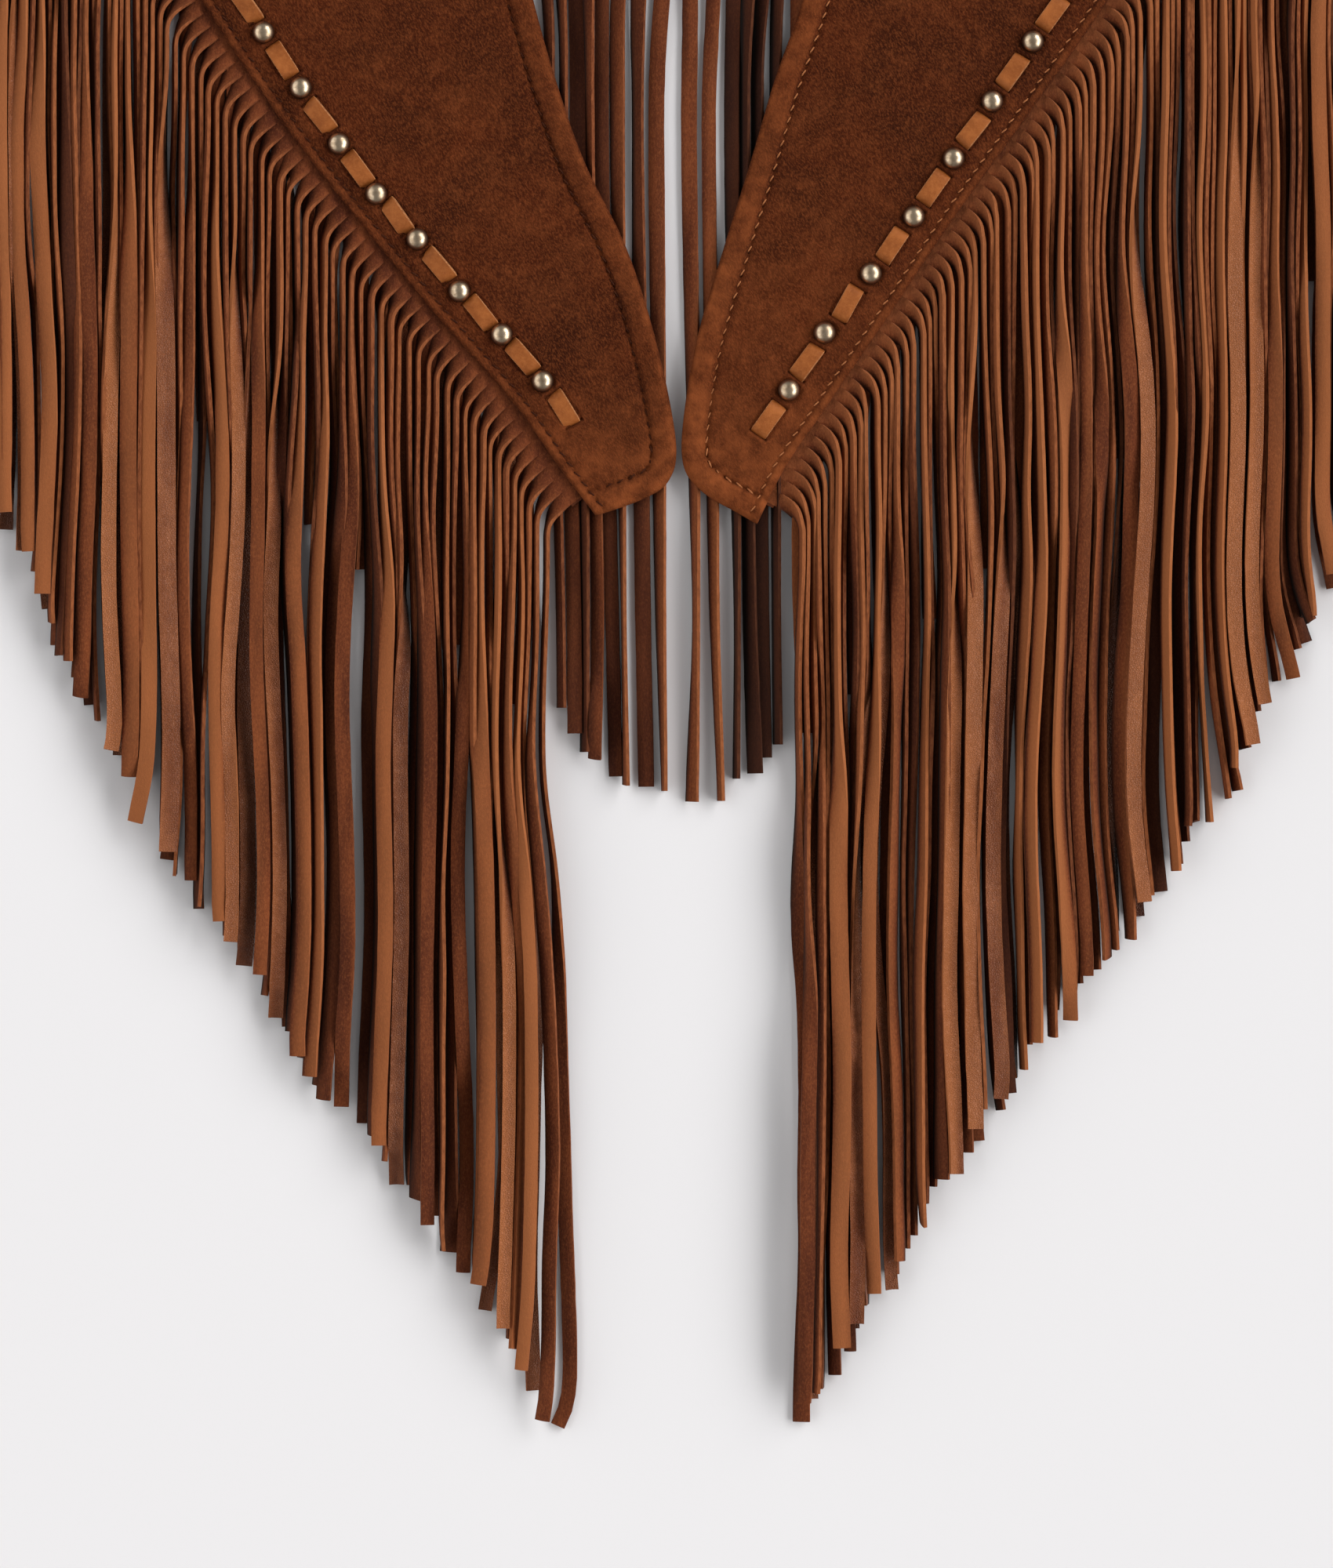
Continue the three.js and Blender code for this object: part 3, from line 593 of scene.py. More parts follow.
def front_height(side, points):
    """Height of a front's upper face, its worn share and how rounded off it is, over points in plan."""
    to_edge, edge_along = EDGES[side].nearest(points)
    to_hem, hem_along = HEMS[side].nearest(points)
    to_shoulder = np.maximum(ROLL_LENGTH["front"] - past_roll(points), 0)
    seed = SEED["relief"][side]
    band = seam_form(to_edge, edge_along, BAND)
    ridge = seam_form(to_hem, hem_along, RIDGE)
    top = FRONT_WALL[1] + np.maximum(band, DEEPEST["front"]) + ridge
    top += waves(points, seed, *RELIEF["swell"]) + waves(points, seed + 1, *RELIEF["ripple"])
    puckers = waves(np.stack([edge_along, to_edge * STRETCHED], 1), seed + 2, *RELIEF["pucker"])
    (inside, inside_wide), (on_band, band_wide) = PUCKERED["inside"], PUCKERED["band"]
    puckered = bell(to_edge - BAND["width"] - inside, inside_wide)
    top += puckers * (puckered + PUCKERED["band_share"] * bell(to_edge - BAND["width"] + on_band, band_wide))
    gathers = waves(np.stack([hem_along, to_hem * STRETCHED], 1), seed + 3, *RELIEF["gather"])
    past_ridge, ridge_wide = PUCKERED["hem"]
    top += gathers * bell(to_hem - RIDGE["width"] - past_ridge, ridge_wide)
    crumbs = waves(np.stack([hem_along, to_hem], 1), seed + 4, *RELIEF["crumb"])
    top += crumbs * smoothstep(to_hem, RIDGE["width"], 0.4)
    top += row_form(side, points) - notches(side, points)
    round_off = rounding(to_edge, EDGE_ROUND["edge"]) * rounding(to_hem, EDGE_ROUND["hem"])
    round_off *= rounding(to_shoulder, EDGE_ROUND["shoulder"])
    worn = WORN[side] * smoothstep(band, *WEAR_RISES["band"])
    worn += WEAR["ridge"] * smoothstep(ridge, *WEAR_RISES["ridge"])
    rim, rim_wide = WEAR["rim_at"]
    ups = points[:, 1]
    worn += WEAR["rim"] * bell(to_edge - rim, rim_wide)
    worn += WEAR["point"] * smoothstep(ups, *WEAR_HEIGHTS["point"])
    worn += BRUSHED[side] * smoothstep(ups, *WEAR_HEIGHTS["brushed"])
    return top, np.clip(worn, 0, 1), round_off


# How the suede lies at the lace's slits and round the studs: heights, and how far out and how wide
SLIT = {"deep": 1.1, "past": 0.1, "wide": 0.42, "ends": (3.5, 3.0)}
LIP = {"high": 0.55, "past": 1.5, "wide": 1.0, "beside": (1.1, 0.1)}
BED = {"deep": 0.2, "fades": (0, -0.8)}
PUFF = {"high": 0.22, "out": 4.2, "wide": 1.3, "fades": (2.5, -1)}
RING = {"high": 0.2, "out": 5.2, "wide": 1.1}
SEAT = {"deep": 0.45, "fades": (4.6, 3.0)}
NEAR_LACE = 14
NEAR_STUD = 9


def row_form(side, points):
    """The row of lace and studs: the suede rises over the lace under it and sinks at slits and studs."""
    form = np.zeros(len(points))
    reach = LACE["shows"] / 2
    for place, along, outward in lace_places(side):
        near = close_to(points, place, NEAR_LACE)
        u = (points[near] - place) @ along
        v = (points[near] - place) @ outward
        inside = smoothstep(np.abs(v), *(LACE["width"] / 2 + more for more in LIP["beside"]))
        past = np.abs(u) - reach
        slit = -SLIT["deep"] * bell(past - SLIT["past"], SLIT["wide"]) * smoothstep(np.abs(v), *SLIT["ends"])
        lip = LIP["high"] * bell(past - LIP["past"], LIP["wide"]) * inside
        bed = -BED["deep"] * smoothstep(past, *BED["fades"]) * inside
        puff = PUFF["high"] * bell(np.abs(v) - PUFF["out"], PUFF["wide"]) * smoothstep(past, *PUFF["fades"])
        form[near] += slit + lip + bed + puff
    for place, _, _ in stud_places(side):
        near = close_to(points, place, NEAR_STUD)
        away = np.linalg.norm(points[near] - place, axis=1)
        ring = RING["high"] * bell(away - RING["out"], RING["wide"])
        form[near] += ring - SEAT["deep"] * smoothstep(away, *SEAT["fades"])
    return form


# Where stitches are left out: off the band's line, and near the hem, the edge and the shoulder's roll
SEWN = {"on_band": 0.25, "off_hem": 0.8, "off_edge": 1.5, "off_roll": -1}


def sewn_lines(side):
    """The places of the stitches along a front's inner edge and its hem."""
    edge, hem = EDGES[side], HEMS[side]

    def on_band(places):
        on_line = edge.nearest(places)[0] > BAND["width"] - SEWN["on_band"]
        off_hem = hem.nearest(places)[0] > RIDGE["width"] + SEWN["off_hem"]
        return on_line & off_hem & (past_roll(places) < SEWN["off_roll"])

    def on_hem(places):
        return (edge.nearest(places)[0] > SEWN["off_edge"]) & (past_roll(places) < SEWN["off_roll"])

    return [stitch_line(edge, BAND["width"], on_band), stitch_line(hem, RIDGE["width"], on_hem)]


def notches(side, points):
    """The thread pulls the suede down at both ends of each stitch."""
    depth = np.zeros(len(points))
    reach = 3 * STITCH["notch_width"]
    for place, along, outward in sewn_lines(side):
        run = along * math.cos(STITCH["lean"]) + outward * math.sin(STITCH["lean"])
        for end in (-1, 1):
            for spot in place + end * run * STITCH["length"] / 2:
                near = close_to(points, spot, reach)
                away = np.linalg.norm(points[near] - spot, axis=1)
                depth[near] = np.maximum(depth[near], STITCH["notch"] * bell(away, STITCH["notch_width"]))
    return depth


def spread_columns(width):
    """Places across one row of a front's mesh, from its edge to its hem, closer at both."""
    near, far = np.array(EDGE_OFFSETS), np.array(HEM_OFFSETS)
    squeeze = min(1.0, MOST_SHARE * width / near[-1], MOST_SHARE * width / far[-1])
    low, high = near * squeeze, width - far[::-1] * squeeze
    return np.concatenate([low[:-1], np.linspace(low[-1], high[0], MIDDLE_COLUMNS), high[1:]])


def front_rows(side):
    """The heights of the mesh's rows, and where each starts at the inner edge and ends at the hem."""
    (point_ends, point_step), (middle_ends, middle_step) = ROWS["point"], ROWS["middle"]
    ups = np.concatenate([np.arange(HEM_END[side][1], point_ends, point_step),
                          np.arange(point_ends, middle_ends, middle_step),
                          np.linspace(middle_ends, NECK_POINT[1], ROWS["shoulder"])])
    edge = EDGES[side].points[::-1]
    hem = HEMS[side].points
    shoulder_out = ROLL_LENGTH["front"] - ROLL_RADIUS
    start = np.interp(ups, edge[:, 1], edge[:, 0])
    tip = np.add(SHOULDER_TIP, SHOULDER_OUT * shoulder_out)
    neck = np.add(NECK_POINT, SHOULDER_OUT * shoulder_out)
    outer_up = np.concatenate([hem[:-1, 1], [tip[1], neck[1]]])
    outer_out = np.concatenate([hem[:-1, 0], [tip[0], neck[0]]])
    return ups, start, np.maximum(np.interp(ups, outer_up, outer_out), start)


def front_panel(side, material):
    """A front: a fine upper face and a coarse lower one that share their outer edges."""
    ups, start, end = front_rows(side)
    rows = [np.stack([a + spread_columns(max(b - a, 1e-3)), np.full(len(spread_columns(1)), up)], 1)
            for up, a, b in zip(ups, start, end)]
    grid = np.array(rows)
    count, across = grid.shape[:2]
    mesh = bmesh.new()
    top = [[mesh.verts.new((x, y, 1.0)) for x, y in row] for row in grid]
    kept = sorted({0, across - 1, *range(UNDER_STEP, across - 4, UNDER_STEP)})
    under = [[row[j] if j in (0, across - 1) else mesh.verts.new((grid[i, j, 0], grid[i, j, 1], 0.0))
              for j in kept] for i, row in enumerate(top)]
    for i in range(count - 1):
        for j in range(across - 1):
            mesh.faces.new((top[i][j], top[i][j + 1], top[i + 1][j + 1], top[i + 1][j]))
        for j in range(len(kept) - 1):
            mesh.faces.new((under[i][j], under[i + 1][j], under[i + 1][j + 1], under[i][j + 1]))
    refine_near_row(mesh, side)
    points = np.array([v.co for v in mesh.verts])
    top, worn, round_off = front_height(side, points[:, :2])
    shaped, upper = walled(points[:, :2], points[:, 2], FRONT_WALL, top, round_off, ROLL_MIDDLE["front"])
    return shaped_piece(f"front_{side}_cloth", mesh, placed(shaped, SIDES[side]), worn * upper, material)


def walled(flat, side_up, wall, top, round_off, roll_middle):
    """Points of a flat mesh on both faces of its wall, rolled at the shoulder, and which are on top."""
    middle = sum(wall) / 2
    upper = side_up > 0.5
    height = np.where(upper, middle + (top - middle) * round_off, middle - (middle - wall[0]) * round_off)
    return rolled(np.column_stack([flat, height]), roll_middle), upper


def shaped_piece(name, mesh, points, worn, material):
    """A mesh object from a bmesh whose points get their last places, ends that meet in a point welded."""
    layer = mesh.verts.layers.float.new("worn")
    for vertex, place, value in zip(mesh.verts, points * MM, worn):
        vertex.co = place
        vertex[layer] = value
    bmesh.ops.remove_doubles(mesh, verts=mesh.verts, dist=WELD * MM)
    if mesh.calc_volume(signed=True) < 0:
        bmesh.ops.reverse_faces(mesh, faces=mesh.faces)
    data = bpy.data.meshes.new(name)
    mesh.to_mesh(data)
    mesh.free()
    data.shade_smooth()
    data.materials.append(material)
    return linked(name, data)


def refine_near_row(mesh, side):
    """Smaller faces round each slit, so that its lips and hollow are smooth."""
    reach_along = LACE["shows"] / 2
    slits = [place + end * reach_along * along for place, along, _ in lace_places(side) for end in (-1, 1)]
    for reach in REFINED:
        chosen = set()
        mesh.faces.ensure_lookup_table()
        centres = np.array([f.calc_center_median() for f in mesh.faces])
        upper = centres[:, 2] > 0.99
        for slit in slits:
            close = close_to(centres[:, :2], slit, reach)
            chosen.update(np.nonzero(close & upper)[0].tolist())
        edges = {e for i in chosen for e in mesh.faces[i].edges}
        bmesh.ops.subdivide_edges(mesh, edges=list(edges), cuts=1, use_grid_fill=True)
    mesh.verts.index_update()


# The back panel
NECK_BAND = {"width": 8.0, "rise": 0.5, "crest": 3.4, "groove": 0.3, "groove_width": 0.6}
BACK_OFFSETS = [0, 0.1, 0.3, 0.7, 1.2, 1.9, 2.6, 3.1, 3.6, 4.6, 6.0]
BACK_COLUMNS = 241
BACK_ROWS = 46
BACK_SHARE = 0.4
BACK_UNDER = slice(4, -4, 6)
BACK_ROUND = {"hem": 0.7, "neck": 1.0, "shoulder": 0.4}
BACK_SWELL = (40, 0.12)
BACK_WORN = 0.7
BACK_SEAM = 4.0


def neck_height(outs):
    """How high up the neckline is, at places between the two neck points."""
    return HALF_LENGTH - NECK_DROP + NECK_DROP * (outs / NECK_POINT[0]) ** 2


def back_panel(material):
    """The back: columns from its hem up to the neck or a shoulder, with a coarse lower face."""
    roll_out = ROLL_LENGTH["back"] - ROLL_RADIUS
    tip_out, tip_up = np.add(SHOULDER_TIP, SHOULDER_OUT * roll_out)
    outs = tip_out * np.sin(np.linspace(-math.pi / 2, math.pi / 2, BACK_COLUMNS))
    hem = HEMS["back"].points
    reach = np.abs(outs)
    low = np.interp(reach, np.append(hem[:-1, 0], tip_out), np.append(hem[:-1, 1], tip_up))
    shoulder = NECK_POINT[1] + roll_out + (reach - NECK_POINT[0]) * SHOULDER_ALONG[1] / SHOULDER_ALONG[0]
    high = np.maximum(np.where(reach < NECK_POINT[0], neck_height(reach), shoulder), low)
    mesh = bmesh.new()
    top, under = [], []
    for out, a, b in zip(outs, low, high):
        offsets = np.array(BACK_OFFSETS) * min(1, BACK_SHARE * (b - a) / BACK_OFFSETS[-1])
        middle = np.linspace(a + offsets[-1], b - offsets[-1], BACK_ROWS)
        ups = np.concatenate([a + offsets[:-1], middle, b - offsets[-2::-1]])
        row = [mesh.verts.new((out, up, 1.0)) for up in ups]
        top.append(row)
        under.append([row[0], *(mesh.verts.new((out, up, 0.0)) for up in ups[BACK_UNDER]), row[-1]])
    for i in range(BACK_COLUMNS - 1):
        for grid, turn in ((top, 1), (under, -1)):
            for j in range(len(grid[0]) - 1):
                corners = (grid[i][j], grid[i + 1][j], grid[i + 1][j + 1], grid[i][j + 1])
                mesh.faces.new(corners[::turn])
    points = np.array([v.co for v in mesh.verts])
    shaped, worn = back_form(points)
    return shaped_piece("back_cloth", mesh, shaped, worn, material)


def neck_curve():
    """The neckline of the back, from its right end to its left."""
    outs = np.linspace(NECK_POINT[0], -NECK_POINT[0], 60)
    return Route(np.column_stack([outs, neck_height(outs)]))


def back_form(points):
    """The last place of each point of the back's flat mesh, and its worn share."""
    side = np.where(points[:, 0] < 0, -1, 1)
    flat = np.column_stack([np.abs(points[:, 0]), points[:, 1]])
    to_hem, _ = HEMS["back"].nearest(flat)
    to_neck, neck_along = neck_curve().nearest(flat)
    to_shoulder = np.maximum(ROLL_LENGTH["back"] - past_roll(flat), 0)
    band = seam_form(to_neck, neck_along, NECK_BAND)
    swell = waves(points[:, :2], SEED["back"], *BACK_SWELL)
    top = BACK_WALL[1] + np.maximum(band, DEEPEST["back"]) + swell
    round_off = rounding(to_hem, BACK_ROUND["hem"]) * rounding(to_neck, BACK_ROUND["neck"])
    round_off *= rounding(to_shoulder, BACK_ROUND["shoulder"])
    shaped, upper = walled(flat, points[:, 2], BACK_WALL, top, round_off, ROLL_MIDDLE["back"])
    shaped[:, 0] *= side
    return shaped, BACK_WORN * smoothstep(band, *WEAR_RISES["neck"]) * upper


# Sewing: short padded stitches that dive into the suede at both ends
def stitch_line(route, inside, keep):
    """Even places on a line inside an edge, where keep says that the line is sewn."""
    place, _, outward = route.at(np.arange(0, route.length, 0.5))
    line = place - outward * inside
    line = Route(line[keep(line)])
    half_pitch = STITCH["pitch"] / 2
    return line.at(np.arange(half_pitch, line.length - half_pitch, STITCH["pitch"]))


def stitches(places, heights, lean=0.0):
    """One closed loft for each stitch, along the line at its place."""
    share = np.linspace(-1, 1, STITCH["rings"])
    around = np.linspace(0, 2 * math.pi, STITCH["sides"], endpoint=False)
    radius = STITCH["radius"] * np.sqrt(np.maximum(1 - np.abs(share) ** 5, 0.04))
    side = np.outer(radius, np.cos(around))
    place, along, outward = places
    lofts = []
    for i, height in enumerate(heights):
        run = along[i] * math.cos(lean) + outward[i] * math.sin(lean)
        across = np.array([run[1], -run[0]])
        middle = place[i] + np.outer(share * STITCH["length"] / 2, run)
        rise = height + STITCH["proud"] - STITCH["dive"] * share ** 4
        flat = middle[:, None] + side[..., None] * across
        lofts.append(raised(flat, rise[:, None] + np.outer(radius, np.sin(around))))
    return lofts


def front_sewing(side, material):
    lofts = []
    for places in sewn_lines(side):
        top, _, _ = front_height(side, places[0])
        lofts += stitches(places, top, STITCH["lean"])
    points, faces = joined_lofts(lofts)
    return make_piece(f"stitches_{side}", placed(points, SIDES[side]), faces, material)


def back_sewing(material):
    """Stitches along the neck and along the hem, which is drawn on the right and mirrored."""
    def clear(places):
        return past_roll(np.abs(places)) < SEWN["off_roll"]

    lines = [(neck_curve(), NECK_BAND["width"]), (HEMS["back"], BACK_SEAM)]
    neck, hem = [stitch_line(route, inside, clear) for route, inside in lines]
    neck, hem = [stitches(places, np.full(len(places[0]), BACK_WALL[1] - 0.1)) for places in (neck, hem)]
    points, faces = joined_lofts(neck + hem + [placed(ring, -1)[:, ::-1] for ring in hem])
    return make_piece("stitches_back", points, faces, material)


# Lace and studs
def lace_lengths(side, material):
    """Each visible length comes out of one slit, lies nearly flat and dives into the next."""
    rng = np.random.default_rng(SEED["lace"][side])
    half, thick = LACE["width"] / 2, LACE["thick"]
    section = np.array([(-half, -0.5), (half, -0.5), (half, 0.34), (half - 0.2, 0.5), (0, 0.55),
                        (-half + 0.2, 0.5), (-half, 0.34)]) * (1, thick)
    share = np.sin(np.linspace(-math.pi / 2, math.pi / 2, LACE["rings"]))
    bend = 0.9 * np.abs(share) ** 9 + 0.1 * share ** 2
    u = share * (LACE["shows"] / 2 - LACE["short"])
    z = FRONT_WALL[1] + LACE["rise"] - LACE["dive"] * bend
    slope = np.arctan2(np.gradient(z), np.gradient(u))
    v, w = section.T
    lofts = []
    for place, along, outward in lace_places(side):
        yaw = rng.normal(0, LACE["yaw_varies"])
        roll = math.radians(rng.normal(LACE["rolls"][side], LACE["roll_varies"]))
        run = along * math.cos(yaw) + outward * math.sin(yaw)
        across = np.array([run[1], -run[0]])
        side_step = v * math.cos(roll) - w * math.sin(roll)
        lift = v * math.sin(roll) + w * math.cos(roll)
        flat = place + (u[:, None] - np.sin(slope)[:, None] * lift)[..., None] * run
        flat += side_step[None, :, None] * across
        lofts.append(raised(flat, z[:, None] + np.cos(slope)[:, None] * lift))
    points, faces = joined_lofts(lofts)
    cut = ([0, 1, 1, 0, 0, 1, 1] * (len(share) - 1) + [0, 0]) * len(lofts)
    points = placed(points, SIDES[side])
    return make_piece(f"lace_{side}_leather", points, faces, material, sharp=35, face_values={"cut": cut})


def studs(side, material):
    """Domed heads in rings from under the widest place to the top, which bed into the suede."""
    angle = np.radians(STUD_ANGLES)
    around = np.linspace(0, 2 * math.pi, STUD["sides"], endpoint=False)
    radius = STUD["radius"] * np.cos(angle)
    circles = np.stack([np.outer(radius, np.cos(around)), np.outer(radius, np.sin(around))], -1)
    up = (STUD["foot"] + STUD["lifted"] + STUD["height"] * np.sin(angle))[:, None]
    lofts = [raised(place + circles, up) for place, _, _ in stud_places(side)]
    points, faces = joined_lofts(lofts)
    # Painted shade darkens the dome from 34 degrees up its side down to the foot
    dark = smoothstep(np.degrees(angle), *STUD["painted_foot_shade"])
    foot = np.tile(np.repeat(dark, len(around)), len(lofts))
    points = placed(points, SIDES[side])
    return make_piece(f"studs_{side}", points, faces, material, sharp=60, point_values={"foot": foot})


# Fringe: strands leave the hem squarely, turn on edge as they bend down, and lie over each other
STRANDS = {"left": 94, "right": 100, "back": 46}
WIDTH = {"left": 4.7, "right": 4.45, "back": 4.7}
THICK = 1.1
FIRST_ROOT = 10.0
LAST_ROOT = 8.0
STRIP_START = 7.0
STRIP_REACH = 7.0
UNCUT = {"left": (1.5, 3.0, 70.0), "right": (1.2, 1.5, 40.0), "back": (1.0, 0.0, 70.0)}
SLIT_CLEAR = 0.5
LEAVES_STRAIGHT = {"left": 2.4, "right": 2.0, "back": 4.0}
BEND_RADIUS = {"left": 15.0, "right": 13.0, "back": 9.0}
BEND_SHARE = 0.75
BEND_TILT = {"left": 73.0, "right": 78.0, "back": 14.0}
CLOSEST = 1.5
EVENED_OVER = 5
OUTERMOST = HALF_WIDTH - 1.2
OUT_LIMIT = HALF_WIDTH - 1.5
# How much the strands' bends differ: their radius as a share, and where they end
UNEVEN_BENDS = {"left": (0.05, 0.3), "right": (0.09, 0.5), "back": (0.0, 0.0)}
# How much further out the fronts' strands hang at the shoulder, and from what share of the hem on
SHOULDER_SPREAD = (9.0, 0.6)
# Where the hem runs nearly level, a strand has no bend
LEVEL_TURN = 0.02

# How far below its root a strand ends, by the distance along the hem
DROP = {
    "left": [(0, 302), (12, 300), (24, 289), (50, 284), (90, 279), (170, 272), (260, 268), (330, 262),
             (440, 257)],
    "right": [(0, 292), (30, 296), (75, 294), (110, 289), (160, 290), (230, 292), (330, 288), (440, 283)],
    "back": [(0, 291), (100, 294)],
}
LOWEST_TIP = -HALF_LENGTH + 0.5

# The heights at which the strands are laid out, and the step of the ground on which they are stacked
LEVEL_STEP = 5.0
LEVELS = np.arange(320.0, -HALF_LENGTH - LEVEL_STEP, -LEVEL_STEP)
ACROSS_STEP = 0.25

# Gaps that open between strands: where, from what height down to what height, and how wide
PARTINGS = {
    "left": [(102, -60, -330, 5.0), (123.5, -75, -200, 2.2), (205, 60, -60, 1.8), (64, -150, -300, 1.5)],
    "right": [(152.5, -70, -165, 3.0), (198.5, 50, -60, 2.6), (86, -190, -290, 1.6), (120, -150, -240, 1.2)],
    "back": [(0, 120, -200, 3.5), (22, 60, -200, 1.5)],
}
PARTING = {"steep": 1.5, "reach": 24, "opens": 50, "closes": 40}

# How far the innermost strands stray outward at a height, and over how many strands this fades
STRAY_FADES = 3.0
STRAYS = {
    "left": [(-72, 0.0), (-160, 2.1), (-185, -1.2), (-235, -2.6), (-285, -6.4), (-310, -6.6), (-335, -6.2),
             (-364, -4.0)],
    "right": [(-72, -1.0), (-110, -1.4), (-185, 0.4), (-235, 0.6), (-285, 1.8), (-310, 1.9), (-335, -0.8),
              (-364, -4.4)],
    "back": [(126, 0.0), (-170, 0.0)],
}

# How the strands differ by chance, and which share of them is cut wider
VARIES = {
    "width": (0.88, 1.1), "wide_share": 0.07, "wide": 1.25, "tip": 2.0, "cup": (0.1, 0.75), "rank": 0.3,
    "tint": 0.16, "bend_tilt": 3, "tilt": 9, "twist": 5, "edge": 0.07,
}
# Neighbours' ranks are far apart, so that high and low strands alternate
RANK_STEP = 0.618034

# How pale the lowest strands are, and how much paler the ones on top: painted shade on strands that lie under
# others and painted light on those on top; the back's are painted darker overall, in the shadow of the fronts
PAINTED_RANK_SHADE = {"left": (-0.15, 1.05), "right": (-0.22, 1.2), "back": (-0.05, 0.4)}
TINT_RANGE = (-0.4, 1)
# The innermost strands show singly: the first one's width, and their tints
INNERMOST = {"left": (4.6, [0.3] * 3), "right": (5.5, [0.25] * 5)}
# The back's innermost strands get painted shade, deepest on the right, where the right front shadows them
BACK_PAINTED_SHADE = {-1: [0.38, -0.05, 0.3, -0.1, 0.15, -0.25, 0.0, -0.1], 1: [0.3, 0.4, -0.55, -0.7, -0.7, -0.7]}

# The ways a strand can lie: its tilt, and how often it goes on to another way
WAYS = {
    "flat": (6.0, [("slant", 0.14), ("low", 0.05)]),
    "slant": (58.0, [("flat", 0.15), ("edge", 0.18)]),
    "edge": (80.0, [("slant", 0.2), ("grain", 0.08)]),
    "grain": (172.0, [("edge", 0.14)]),
    "low": (-55.0, [("flat", 0.35)]),
}
WAYS_AT_FIRST = {
    "left": (0.14, 0.34, 0.38, 0.06, 0.08),
    "right": (0.08, 0.35, 0.46, 0.04, 0.07),
    "back": (0.4, 0.25, 0.15, 0.12, 0.08),
}
# Strands above this rank lie on top, flat or turned over
ON_TOP = {"left": 0.76, "right": 0.86, "back": 1.0}
TOP_WAYS = {"flat": 0.5, "grain": 0.5}
WAY_LENGTH = 105.0
WAY_COUNT = 5

# Below its bend a strand keeps its tilt for a while, longest near the tip, and then turns over a length
KEEPS = {"left": (0.0, 60.0, 50.0), "right": (0.0, 70.0, 60.0), "back": (5.0, 30.0, 0.0)}
TIP_STRANDS = 12
TURNS_OVER = (55.0, 110.0)

# How far the strands wander sideways: in groups, each by itself over many levels, and over few
GROUPS = {"length": 34, "amount": 1.1, "up_share": 0.3}
STRAGGLE = {"left": 1.9, "right": 1.7, "back": 0.6}
STRAGGLE_LEVELS = 20
SHAKE = 0.22
SHAKE_LEVELS = 6
WANDER_GROWS = (4, 75)

# How strands make room for each other: rounds, how much of what lacks each gives and of its way back
ROOM = {"rounds": 90, "gives": 0.45, "returns": 0.1, "on_edge": 0.85, "flat": 0.83, "smoothings": 5}
ROOM_GROWS = (0, 25)

# How strands of the back are kept low under the fronts: beside the panels, and how far they may tilt
COVER = {"inside": 4, "outside": 12, "lowest": -90, "fades": 0.4, "rounds": 4, "from": 0.2, "tilt": 0.35}

# The back's middle strands on each side, from the centre out: how far out and how tilted at three heights
BACK_STATIONS = (40.0, -110.0, -168.0)
BACK_OUT = {
    -1: [(7.0, 5.6, 4.2), (12.9, 11.2, 10.0), (19.4, 17.3, 16.5), (24.4, 21.0, 19.6), (28.2, 25.5, 27.0),
         (32.0, 29.4, 30.0), (36.5, 33.0, 32.8), (41.0, 37.3, 37.0)],
    1: [(3.4, 5.9, 4.2), (9.7, 11.5, 13.9), (17.0, 18.9, 18.4), (21.2, 22.7, 25.0), (25.2, 26.6, 27.8),
        (31.0, 31.2, 32.0)],
}
BACK_TILTS = {
    -1: [(5, 60, 82), (54, 2, 8), (32, 84, 70), (16, 5, 20), (60, 20, 15), (10, 72, 60), (66, 10, 5),
         (50, 60, 50)],
    1: [(6, 78, 40), (2, 60, 72), (20, 78, 72), (60, 40, 8), (48, 5, 16), (50, 66, 60)],
}
STATION_SMOOTHINGS = 12
JOINS = (5, 70)
UNDER_GAP = 101.0

# Ends that curl sideways: how far at most, by what share of it, over what height, and more on the outer right
FLICKS = {"left": 1.5, "right": 1.0, "back": 1.0}
FLICK_SHARE = (-0.2, 1)
FLICK_HEIGHT = 30
OUTER_FLICKS = {"more": 9.0, "from": (0.45, 0.7)}


def uncut_below(kind, distance):
    """How far below the hem the slits between the strands start."""
    least, at_tip, over = UNCUT[kind]
    return least + at_tip * np.maximum(0, 1 - distance / over)


